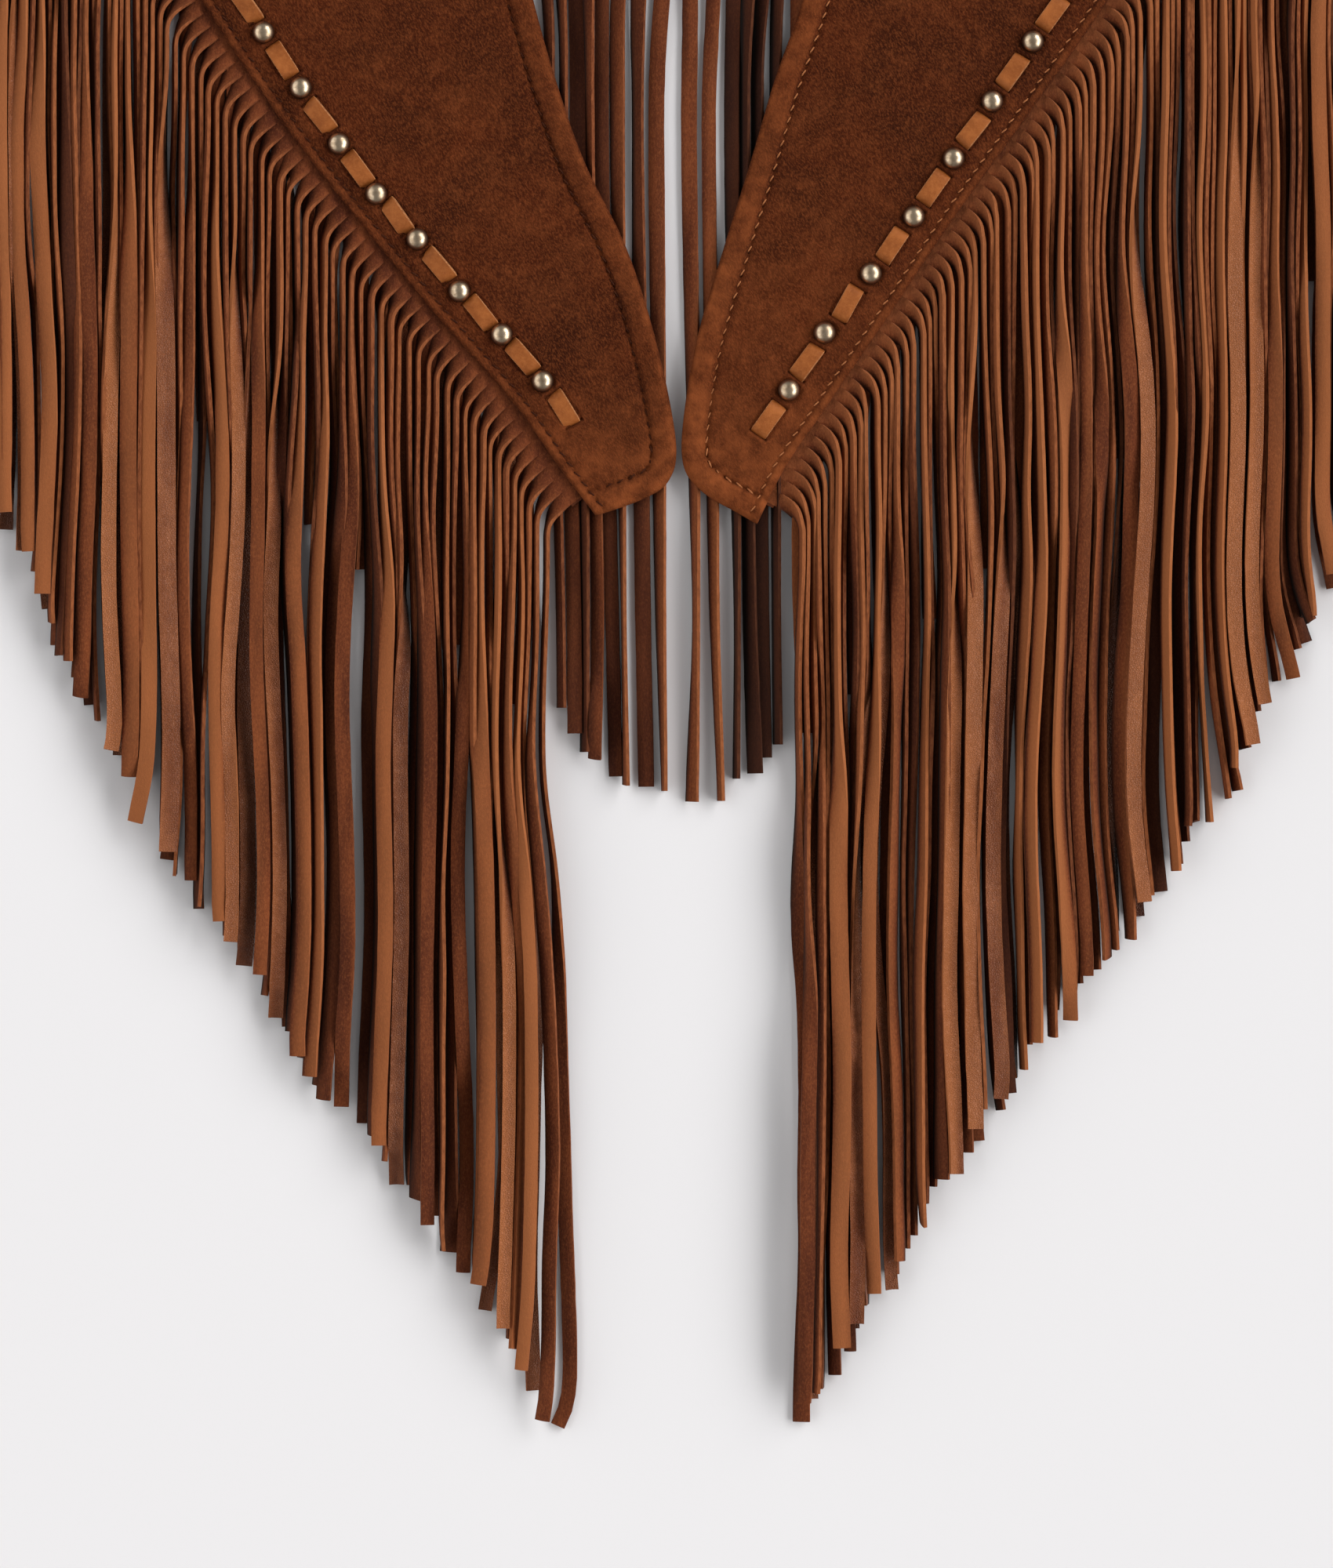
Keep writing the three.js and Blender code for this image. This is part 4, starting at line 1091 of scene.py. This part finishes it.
class Plan:
    """Where each strand of a fringe leaves the hem, where it starts to hang and where it ends."""

    def __init__(self, kind):
        hem = HEMS[kind]
        count = STRANDS[kind]
        first = (hem.length - LAST_ROOT) / (2 * count - 1) if kind == "back" else FIRST_ROOT
        self.kind = kind
        rng = np.random.default_rng(SEED["bends"] + len(kind))
        uneven = rng.normal(0, 1, (2, count)) * np.reshape(UNEVEN_BENDS[kind], (2, 1))
        self.pitch = (hem.length - LAST_ROOT - first) / (count - 1)
        self.distance = first + self.pitch * np.arange(count)
        self.root, self.along, self.outward = hem.at(self.distance)
        self.turn = np.arctan2(self.along[:, 1], self.along[:, 0])
        curl = 1 - np.cos(self.turn)
        least = uncut_below(kind, self.distance) + SLIT_CLEAR
        run_out = self.hang_places(curl, np.maximum(LEAVES_STRAIGHT[kind], least)) + uneven[1]
        away = run_out - self.root[:, 0]
        widest = BEND_SHARE * away / np.maximum(curl, TINY)
        self.radius = np.minimum(BEND_RADIUS[kind] * (1 + uneven[0]), widest)
        leaves = (away - self.radius * curl) / np.maximum(np.sin(self.turn), TINY)
        leaves = np.where(self.turn > LEVEL_TURN, leaves, LEAVES_STRAIGHT[kind])
        self.straight = np.maximum(leaves, least)
        self.start = self.root + self.outward * self.straight[:, None]
        self.hang = self.on_bend(1.0)
        self.tip = self.root[:, 1] - np.interp(self.distance, *zip(*DROP[kind]))

    def hang_places(self, curl, straight):
        """How far out each strand hangs: never too close to the next, and evened over its neighbours."""
        most, begin = SHOULDER_SPREAD
        share = self.distance / HEMS[self.kind].length
        spread = 0 if self.kind == "back" else most * smoothstep(share, begin, 1)
        out = self.root[:, 0] + straight * np.sin(self.turn) + BEND_RADIUS[self.kind] * curl + spread
        if self.kind != "back":
            out[-1] = OUTERMOST
            for i in range(len(out) - 2, -1, -1):
                out[i] = min(out[i], out[i + 1] - CLOSEST)
        index = np.arange(len(out))
        reach = np.minimum(EVENED_OVER, np.minimum(index, len(out) - 1 - index))
        return np.array([out[i - r:i + r + 1].mean() for i, r in enumerate(reach)])

    def on_bend(self, share):
        """Each strand's place at a share of its bend."""
        left = self.turn * (1 - share)
        sideways = self.radius * (np.cos(left) - np.cos(self.turn))
        fall = self.radius * (np.sin(self.turn) - np.sin(left))
        return self.start + np.column_stack([sideways, -fall])


class Fringe:
    """One side's strands, laid out level by level below the places where they start to hang."""

    def __init__(self, kind, sign, seed):
        self.plan = plan = Plan(kind)
        self.kind, self.sign = kind, sign
        self.rng = rng = np.random.default_rng(seed)
        count = self.count = len(plan.distance)
        cut = rng.uniform(*VARIES["width"], count)
        wide = np.where(rng.random(count) < VARIES["wide_share"], VARIES["wide"], 1)
        self.width = WIDTH[kind] * cut * wide
        self.tip = np.maximum(plan.tip + rng.normal(0, VARIES["tip"], count), LOWEST_TIP)
        self.cup = rng.uniform(*VARIES["cup"], count)
        self.rank = (np.arange(count) * RANK_STEP + rng.uniform(0, VARIES["rank"], count)) % 1
        # Painted shade on strands low in the pile and painted light on those on top, with each strand's own
        # tone by chance
        low, rising = PAINTED_RANK_SHADE[kind]
        tint = low + rising * self.rank ** 2 + rng.normal(0, VARIES["tint"], count)
        self.tint = np.clip(tint, *TINT_RANGE)
        self.special_strands()
        self.base = np.repeat(plan.hang[:, :1], len(LEVELS), 1)
        self.depth = plan.hang[:, 1:2] - LEVELS
        self.valid = (self.depth >= -LEVEL_STEP) & (LEVELS >= self.tip[:, None] - LEVEL_STEP)
        self.tilt = self.tilts()
        flat, on_edge = np.abs(np.cos(self.tilt)), np.abs(np.sin(self.tilt))
        self.half = (self.width[:, None] * flat + THICK * on_edge) / 2
        self.out = self.laid_out()

    def special_strands(self):
        """The innermost strands get their own width and tints; on the back these tints are painted shade."""
        if self.kind == "back":
            tints = BACK_PAINTED_SHADE[self.sign]
        else:
            self.width[0], tints = INNERMOST[self.kind]
        self.tint[:len(tints)] = tints

    def tilts(self):
        """Tilt at each level: on edge below the bend, then flat, on edge or turned over by turns."""
        rng = self.rng
        varied = rng.normal(0, VARIES["bend_tilt"], self.count)
        self.bend_tilt = np.radians(BEND_TILT[self.kind] + varied) * self.sign
        course = np.zeros((self.count, WAY_COUNT))
        names = list(WAYS)
        for i in range(self.count):
            way = rng.choice(names, p=WAYS_AT_FIRST[self.kind])
            top = self.rank[i] > ON_TOP[self.kind]
            if top:
                way = rng.choice(list(TOP_WAYS), p=list(TOP_WAYS.values()))
            if self.kind != "back" and i == 0:
                way = "flat"
            for k in range(WAY_COUNT):
                course[i, k] = WAYS[way][0]
                draw = rng.random()
                for other, chance in WAYS[way][1]:
                    if draw < chance and i and not top:
                        way = other
                        break
                    draw -= chance
        course += rng.normal(0, VARIES["tilt"], course.shape)
        course *= self.sign
        where = np.clip(self.depth / WAY_LENGTH, 0, WAY_COUNT - 1.001)
        base = where.astype(int)
        t = smoothstep(where - base, 0.1, 0.9)
        rows = np.arange(self.count)[:, None]
        random_tilt = np.radians(blend(course[rows, base], course[rows, base + 1], t))
        twist = soft_steps(rng, self.count, len(LEVELS), SHAKE_LEVELS)
        random_tilt += np.radians(VARIES["twist"]) * twist
        least, most, near_tip = KEEPS[self.kind]
        fading = np.exp(-np.arange(self.count) / TIP_STRANDS)
        keeps = rng.uniform(least, most, self.count) + near_tip * fading
        turned = keeps + rng.uniform(*TURNS_OVER, self.count)
        free = smoothstep(self.depth, keeps[:, None], turned[:, None])
        tilt = blend(self.bend_tilt[:, None], random_tilt, free)
        if self.kind == "back":
            return self.as_seen(self.kept_low(tilt), BACK_TILTS, math.pi / 180 * self.sign)
        return tilt

    def kept_low(self, tilt):
        """Under the front panels the back's strands lie nearly flat."""
        side = "left" if self.sign < 0 else "right"
        edge, hem = EDGES[side].points[::-1], HEMS[side].points
        inner = np.interp(LEVELS, edge[:, 1], edge[:, 0]) - COVER["inside"]
        outer = np.interp(LEVELS, hem[:, 1], hem[:, 0]) + COVER["outside"]
        between = (self.base > inner) & (self.base < outer)
        covered = (between & (LEVELS > COVER["lowest"])).astype(float)
        for _ in range(COVER["rounds"]):
            beside = np.roll(covered, 1, 1) + np.roll(covered, -1, 1)
            covered = np.maximum(covered, beside * COVER["fades"])
        self.covered = covered > COVER["from"]
        turned = np.round(tilt / math.pi) * math.pi
        low = turned + np.clip(tilt - turned, -COVER["tilt"], COVER["tilt"])
        return blend(tilt, low, covered)

    def laid_out(self):
        """Distance out of each strand at each level, with room made for those beside it."""
        base, rng = self.base, self.rng
        spots = np.column_stack([base.ravel(), np.tile(LEVELS * GROUPS["up_share"], self.count)])
        wander = waves(spots, SEED["groups"] + self.sign, GROUPS["length"], GROUPS["amount"])
        wander = wander.reshape(base.shape)
        wander += STRAGGLE[self.kind] * soft_steps(rng, self.count, len(LEVELS), STRAGGLE_LEVELS)
        wander += SHAKE * soft_steps(rng, self.count, len(LEVELS), SHAKE_LEVELS)
        for at, begin, end, wide in PARTINGS[self.kind]:
            side = np.tanh((base - at) / PARTING["steep"])
            opening = smoothstep(-LEVELS, -begin, -begin + PARTING["opens"])
            window = opening * smoothstep(LEVELS, end - PARTING["closes"], end)
            wander += side * wide / 2 * bell(base - at, PARTING["reach"]) * window
        strays = STRAYS[self.kind]
        path = np.interp(-LEVELS, [-up for up, _ in strays], [out for _, out in strays])
        wander += path * np.exp(-np.arange(self.count) / STRAY_FADES)[:, None]
        goal = base + wander * smoothstep(self.depth, *WANDER_GROWS)
        goal += self.flicks()
        out = np.minimum(goal, OUT_LIMIT)
        flat = np.cos(self.tilt) ** 2
        for _ in range(ROOM["rounds"]):
            for parity in (0, 1):
                inner, outer = slice(parity, self.count - 1, 2), slice(parity + 1, self.count, 2)
                both = self.valid[inner] & self.valid[outer]
                kept = ROOM["on_edge"] - ROOM["flat"] * flat[inner] * flat[outer]
                room = (self.half[inner] + self.half[outer]) * kept
                lack = np.where(both, np.maximum(room - (out[outer] - out[inner]), 0), 0)
                out[inner] -= lack * ROOM["gives"]
                out[outer] += lack * ROOM["gives"]
            out += (goal - out) * ROOM["returns"]
            out = np.minimum(out, OUT_LIMIT)
        for _ in range(ROOM["smoothings"]):
            out = np.where(self.valid, smoothed(out), out)
        out = blend(base, out, smoothstep(self.depth, *ROOM_GROWS))
        return self.as_seen(self.under_gap(out), BACK_OUT) if self.kind == "back" else out

    def under_gap(self, out):
        """One of the back's strands lies under the widest gap of the left front's."""
        if self.sign < 0:
            chosen = np.abs(self.plan.hang[:, 0] - UNDER_GAP).argmin()
            share = smoothstep(self.depth[chosen], *JOINS)
            out[chosen] = blend(out[chosen], UNDER_GAP, share)
        return out

    def as_seen(self, rows, table, unit=1.0):
        """The back's middle strands as they lie between the fronts: values at three heights."""
        for i, stations in enumerate(table[self.sign]):
            course = np.interp(-LEVELS, [-up for up in BACK_STATIONS], stations) * unit
            for _ in range(STATION_SMOOTHINGS):
                course[1:-1] = (course[:-2] + 2 * course[1:-1] + course[2:]) / 4
            rows[i] = blend(rows[i], course, smoothstep(self.depth[i], *JOINS))
        return rows

    def flicks(self):
        """The last of a strand may curl sideways, most on the outer right."""
        most = np.full(self.count, FLICKS[self.kind])
        if self.kind == "right":
            share = np.arange(self.count) / self.count
            most += OUTER_FLICKS["more"] * smoothstep(share, *OUTER_FLICKS["from"])
        amount = self.rng.uniform(*FLICK_SHARE, self.count) * most
        above_tip = LEVELS - self.tip[:, None]
        return amount[:, None] * smoothstep(above_tip, FLICK_HEIGHT, 0) ** 2


def section_reach(width, tilt, thick):
    """The side-most, highest and lowest corners of a strand's section."""
    a, b = width / 2, thick / 2
    c, s = np.cos(tilt), np.sin(tilt)
    sc, ss = np.where(c < 0, -1, 1), np.where(s < 0, -1, 1)
    right = (a * sc * c + b * ss * s, a * sc * s - b * ss * c)
    top = (a * ss * c - b * sc * s, a * ss * s + b * sc * c)
    return right, top


# The share of a strand's reach that rests on others: on edge, and what being flat adds
CONTACT = (0.72, 0.22)
# How far strands of high rank stand off what lies under them, and more where they lie flat on top
SPRING = {"back": 0.3, "front": 1.4}
TOP_LIFT = 3.6
TOP_BEGINS = (-0.05, 0.1)
# How high strands may reach, under a front and elsewhere, and the gap between two of them
UNDER_FRONT = 4.3
PILE = 10.5
STACK_GAP = 0.05
STACK_SMOOTHINGS = 2
GROUND_HALF = HALF_WIDTH + 8


def stack(fringes):
    """Drops every strand onto what lies under it, level by level, and keeps the height of its middle."""
    grid = np.arange(-GROUND_HALF, GROUND_HALF, ACROSS_STEP)
    for fringe in fringes:
        fringe.narrow = CONTACT[0] + CONTACT[1] * np.cos(fringe.tilt) ** 2
        thick = THICK + np.maximum(fringe.cup, 0)[:, None]
        (ru, rv), (tu, tv) = section_reach(fringe.width[:, None], fringe.tilt, thick)
        fringe.reach = [fringe.sign * ru, rv, fringe.sign * tu, tv]
        fringe.height = np.zeros_like(fringe.tilt)
        layer = "back" if fringe.kind == "back" else "front"
        begins, ends = (ON_TOP[fringe.kind] + more for more in TOP_BEGINS)
        on_top = smoothstep(fringe.rank, begins, ends)[:, None]
        fringe.spring = SPRING[layer] * fringe.rank[:, None] + TOP_LIFT * on_top * np.cos(fringe.tilt) ** 2
    for k in range(len(LEVELS)):
        ground = np.full(len(grid), STACK_GAP)
        for layer in ("back", "front"):
            here = [(f.rank[i], n, i) for n, f in enumerate(fringes)
                    if (f.kind == "back") == (layer == "back") for i in np.nonzero(f.valid[:, k])[0]]
            for _, n, i in sorted(here):
                f = fringes[n]
                ru, rv, tu, tv = (r[i, k] for r in f.reach)
                x = f.sign * f.out[i, k]
                if ru < 0:
                    ru, rv = -ru, -rv
                ends = ru * f.narrow[i, k]
                low = max(int((x - ends - grid[0]) / ACROSS_STEP), 0)
                high = int((x + ends - grid[0]) / ACROSS_STEP) + 2
                across = np.clip(grid[low:high] - x, -ru, ru)
                under = np.interp(across, (-ru, -tu, ru), (-rv, -tv, rv))
                over = np.interp(across, (-ru, tu, ru), (-rv, tv, rv))
                most = UNDER_FRONT if layer == "back" and f.covered[i, k] else PILE
                z = min((ground[low:high] - under).max() + STACK_GAP + f.spring[i, k], most - tv)
                f.height[i, k] = z
                ground[low:high] = np.maximum(ground[low:high], z + over)
    for f in fringes:
        inside = f.valid & np.roll(f.valid, 1, 1) & np.roll(f.valid, -1, 1)
        evened = f.height
        for _ in range(STACK_SMOOTHINGS):
            evened = smoothed(evened)
        f.height = np.where(inside, evened, f.height)


# A strand's section, its heights at the root and where it hangs, and the rings round its bend
SECTION = np.array([-1, -0.55, 0, 0.55, 1])
ROOT_LOW = {"back": BACK_STRIP[0], "left": FRONT_STRIP[0], "right": FRONT_STRIP[0]}
HANG_LOW = {"back": 1.3, "left": 2.5, "right": 2.5}
BEND_RINGS = np.linspace(0.1, 1, 11)
FLOOR_CLEAR = 0.08
ROOT_RINGS = 3
ROOT_INSIDE = 5
# How much of its tilt a strand has where its bend starts, by its straight length, and where it has it all
BEND_START = {"over": 6, "least": 0.12, "most": 0.4}
TILTED_BY = 0.8
# Below the bend: the first ring, the least gap above the tip, and where the pile's height takes over
HANG_RINGS = {"first": 2.5, "last": 2}
SETTLES = (2, 42)
OVERLAP = 0.02


def strand_rings(fringe, i):
    """Rings of points along one strand: root, bend and hanging length."""
    plan = fringe.plan
    root, outward, start = plan.root[i], plan.outward[i], plan.start[i]
    bend = np.array([b[i] for b in (plan.on_bend(share) for share in BEND_RINGS)])
    hang_up = plan.hang[i, 1]
    first, last = hang_up - HANG_RINGS["first"], fringe.tip[i] + HANG_RINGS["last"]
    ups = np.append(np.arange(first, last, -LEVEL_STEP), fringe.tip[i])

    def read(rows):
        return np.interp(-ups, -LEVELS, rows[i])

    hanging = np.column_stack([read(fringe.out), ups])
    uncut = uncut_below(fringe.kind, plan.distance[i])
    straight = (plan.straight[i] - uncut) / BEND_START["over"]
    at_start = np.clip(straight, BEND_START["least"], BEND_START["most"])
    places = np.vstack([root - outward * ROOT_INSIDE, root + outward * uncut, start, bend, hanging])
    before = ROOT_RINGS + len(bend)
    on_bend = at_start + (1 - at_start) * smoothstep(BEND_RINGS, 0, TILTED_BY)
    turned = np.concatenate([[0, 0, at_start], on_bend])
    tilt = np.concatenate([fringe.bend_tilt[i] * turned, read(fringe.tilt)])
    rise = (fringe.width[i] * np.abs(np.sin(tilt)) + THICK * np.abs(np.cos(tilt))) / 2
    root_low, hang_low = ROOT_LOW[fringe.kind], HANG_LOW[fringe.kind]
    low = np.concatenate([np.interp(turned, (0, 1), (root_low, hang_low)), np.full(len(ups), hang_low)])
    settled = np.concatenate([np.zeros(before), smoothstep(hang_up - ups, *SETTLES)])
    height = (low + rise) * (1 - settled)
    height[before:] += settled[before:] * read(fringe.height)
    lowest = rise + np.maximum(-fringe.cup[i] * np.cos(tilt), 0) + FLOOR_CLEAR
    height = np.maximum(height, lowest)
    centre = np.column_stack([places, height])
    own = smoothstep(np.arange(len(centre)), 2, before)
    wide = blend(plan.pitch + OVERLAP, fringe.width[i], own)
    even = ROOT_RINGS + 1
    wide += np.concatenate([np.zeros(even), fringe.rng.normal(0, VARIES["edge"], len(wide) - even)])
    return swept(centre, tilt, wide, fringe.cup[i] * own)


def swept(centre, tilt, wide, cup):
    """Rings of a strand's section along its middle line, tilted and cupped as stated at each."""
    ahead = np.gradient(centre, axis=0)
    ahead /= np.linalg.norm(ahead, axis=1, keepdims=True)
    side = np.column_stack([-ahead[:, 1], ahead[:, 0], np.zeros(len(ahead))])
    side /= np.linalg.norm(side, axis=1, keepdims=True)
    up = np.cross(ahead, side)
    across = side * np.cos(tilt)[:, None] + up * np.sin(tilt)[:, None]
    normal = up * np.cos(tilt)[:, None] - side * np.sin(tilt)[:, None]
    middle = centre[:, None] + across[:, None] * (SECTION[None, :, None] * wide[:, None, None] / 2)
    crown = cup[:, None] * (1 - SECTION ** 2)
    top = middle + normal[:, None] * (crown + THICK / 2)[..., None]
    bottom = middle + normal[:, None] * (crown - THICK / 2)[..., None]
    return np.concatenate([top, bottom[:, ::-1]], 1)


# Which side of the leather each face round a section shows: 0 suede, 0.5 a cut edge and 1 grain
STRAND_SIDES = [0, 0, 0, 0, 0.5, 1, 1, 1, 1, 0.5]
STRIP_SIDES = [0, 0.5, 1, 0.5]
STRIP_RINGS = 260
# How unevenly the slits end, and the two paces at which this comes and goes
SLITS_END = {"uneven": 0.35, "fast": 2.1, "slow": 0.37}


def strip_rings(fringe):
    """The uncut suede that the strands hang from, reaching from under the hem to the ends of the slits."""
    kind = fringe.kind
    hem = HEMS[kind]
    low, high = BACK_STRIP if kind == "back" else FRONT_STRIP
    begin = 0 if kind == "back" else STRIP_START
    distance = np.linspace(begin, hem.length - ROLL_RADIUS - 2 * SEAM_HALF_GAP, STRIP_RINGS)
    place, _, outward = hem.at(distance)
    fast, slow = np.sin(distance * SLITS_END["fast"]), np.sin(distance * SLITS_END["slow"] + 1)
    out = uncut_below(kind, distance) + SLITS_END["uneven"] * fast * slow
    corners = ((-STRIP_REACH, high), (out, high), (out, low), (-STRIP_REACH, low))
    return np.stack([raised(place + outward * np.reshape(reach, (-1, 1)), z) for reach, z in corners], 1)


# Tints of the strip and of the strands at their roots, and over what height these fade
STRIP_TINT = 0.1
ROOT_TINT = {"left": 0.32, "right": 0.5, "back": 0.2}
TINT_REACH = 75.0
# Painted shade on a strand's low edge and painted highlight on its high one: how much darker and paler, over
# what height
PAINTED_EDGE_LIGHT = {"low": 1.4, "high": 0.34, "height": 1.7}


def strand_tints(fringe, i, rings):
    """The tint of each point of a strand: its own below the root, with painted shade on the low edge of each
    section and a painted highlight on its high edge.
    """
    below = fringe.plan.root[i, 1] - rings[:, 0, 1]
    tint = blend(ROOT_TINT[fringe.kind], fringe.tint[i], smoothstep(below, 0, TINT_REACH))
    # Painted shade below the middle of each section and a painted highlight above it
    height = (rings[:, :, 2] - rings[:, :, 2].mean(1, keepdims=True)) / PAINTED_EDGE_LIGHT["height"]
    painted_edge_light = PAINTED_EDGE_LIGHT["high"] * np.clip(height, 0, 1) - PAINTED_EDGE_LIGHT["low"] * np.clip(-height, 0, 1)
    return (tint[:, None] + painted_edge_light).ravel()


def fringe_piece(name, fringes, material):
    """One object of strips and strands; on the mirrored side their rings run the other way."""
    lofts, sides, tints = [], [], []
    for fringe in fringes:
        strip, *strands = [
            placed(rings, fringe.sign)[::fringe.sign]
            for rings in [strip_rings(fringe), *(strand_rings(fringe, i) for i in range(fringe.count))]
        ]
        for rings in (strip, *strands):
            pattern = STRIP_SIDES if rings is strip else STRAND_SIDES
            sides += pattern * (len(rings) - 1) + [0.5, 0.5]
        tints.append(np.full(strip.shape[0] * strip.shape[1], STRIP_TINT))
        tints += [strand_tints(fringe, i, rings) for i, rings in enumerate(strands)]
        lofts += [strip, *strands]
    points, faces = joined_lofts(lofts)
    return make_piece(name, points, faces, material, sharp=50, face_values={"side": sides},
                      point_values={"tint": np.concatenate(tints)})


# The stage
FLOOR_HALF = 15000.0
SUN_AWAY = 3


def floor(material):
    corners = np.array([(-1, -1, 0), (1, -1, 0), (1, 1, 0), (-1, 1, 0)], float) * FLOOR_HALF
    mesh = bpy.data.meshes.new("floor")
    mesh.from_pydata((corners * MM).tolist(), [], [(0, 1, 2, 3)])
    mesh.materials.append(material)
    linked("floor", mesh)


def sun(name, azimuth, height, strength, angle):
    """A large soft light far away: azimuth is turned from +X towards +Y."""
    data = bpy.data.lights.new(name, "SUN")
    data.energy = strength
    data.angle = math.radians(angle)
    light = linked(name, data)
    turn, rise = math.radians(azimuth), math.radians(height)
    level = math.cos(rise)
    towards = Vector((math.cos(turn) * level, math.sin(turn) * level, math.sin(rise)))
    light.location = towards * SUN_AWAY
    light.rotation_euler = towards.to_track_quat("Z", "Y").to_euler()


# Two long lights low at the sides, each as three suns: azimuths, height, strength and angle
KEY = {"azimuths": (-24, 10, 44), "height": 29, "strength": 1.18, "angle": 34}
FILL = {"azimuths": (146, 180, 214), "height": 27, "strength": 0.5, "angle": 50}
SKY_STRENGTH = 0.27


def lights():
    """Long soft lights low at both sides, and a weak even sky."""
    for name, light in (("key", KEY), ("fill", FILL)):
        for n, azimuth in enumerate(light["azimuths"], 1):
            sun(f"{name}_{n}", azimuth, light["height"], light["strength"], light["angle"])
    world = bpy.data.worlds.new("studio")
    world.use_nodes = True
    sky = world.node_tree.nodes["Background"].inputs
    sky["Color"].default_value = (1, 1, 1, 1)
    sky["Strength"].default_value = SKY_STRENGTH
    bpy.context.scene.world = world


# The photograph's frame in millimetres, and the distances in metres between which the camera sees
FRAME_CENTRE = (-3.75, -160.0)
FRAME_TALL = 500.0
CAMERA_HEIGHT = 1600.0
SENSOR = 36.0
CLIP = (0.05, 20)


def camera():
    """Straight above the part of the cape that the photograph shows."""
    data = bpy.data.cameras.new("camera")
    data.sensor_width = SENSOR
    data.lens = SENSOR * CAMERA_HEIGHT / FRAME_TALL
    data.clip_start, data.clip_end = CLIP
    piece = linked("camera", data)
    piece.location = (FRAME_CENTRE[0] * MM, FRAME_CENTRE[1] * MM, CAMERA_HEIGHT * MM)
    bpy.context.scene.camera = piece


# The garment
camera()
lights()
floor(pale_surface())
suede = panel_suede()
leather = fringe_leather()
lace = lace_leather()
metal = stud_metal()
threads = {kind: thread(kind) for kind in THREAD}


def dress(piece, nodes=()):
    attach(piece, "root")
    if nodes:
        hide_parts(*nodes)
    return piece


fringes = {
    "left": Fringe("left", -1, seed=11),
    "right": Fringe("right", 1, seed=12),
    "back_left": Fringe("back", -1, seed=13),
    "back_right": Fringe("back", 1, seed=14),
}
stack(list(fringes.values()))


back = dress(back_panel(suede), ["back"])
back_sides = [fringes["back_left"], fringes["back_right"]]
back_fringe = dress(fringe_piece("fringe_back_strands", back_sides, leather), ["fringe_back"])
dress(back_sewing(threads["back"]))
for side in SIDES:
    cloth = dress(front_panel(side, suede), [f"front_{side}"])
    hanging = fringe_piece(f"fringe_{side}_strands", [fringes[side]], leather)
    dress(hanging, [f"fringe_{side}"])
    dress(front_sewing(side, threads[side]))
    dress(lace_lengths(side, lace), [f"lace_{side}"])
    count = STUD_ROW[side]["count"]
    dress(studs(side, metal), [f"stud_{side}_{i:02d}" for i in range(1, count + 1)])

bpy.context.scene.view_settings.view_transform = "Standard"
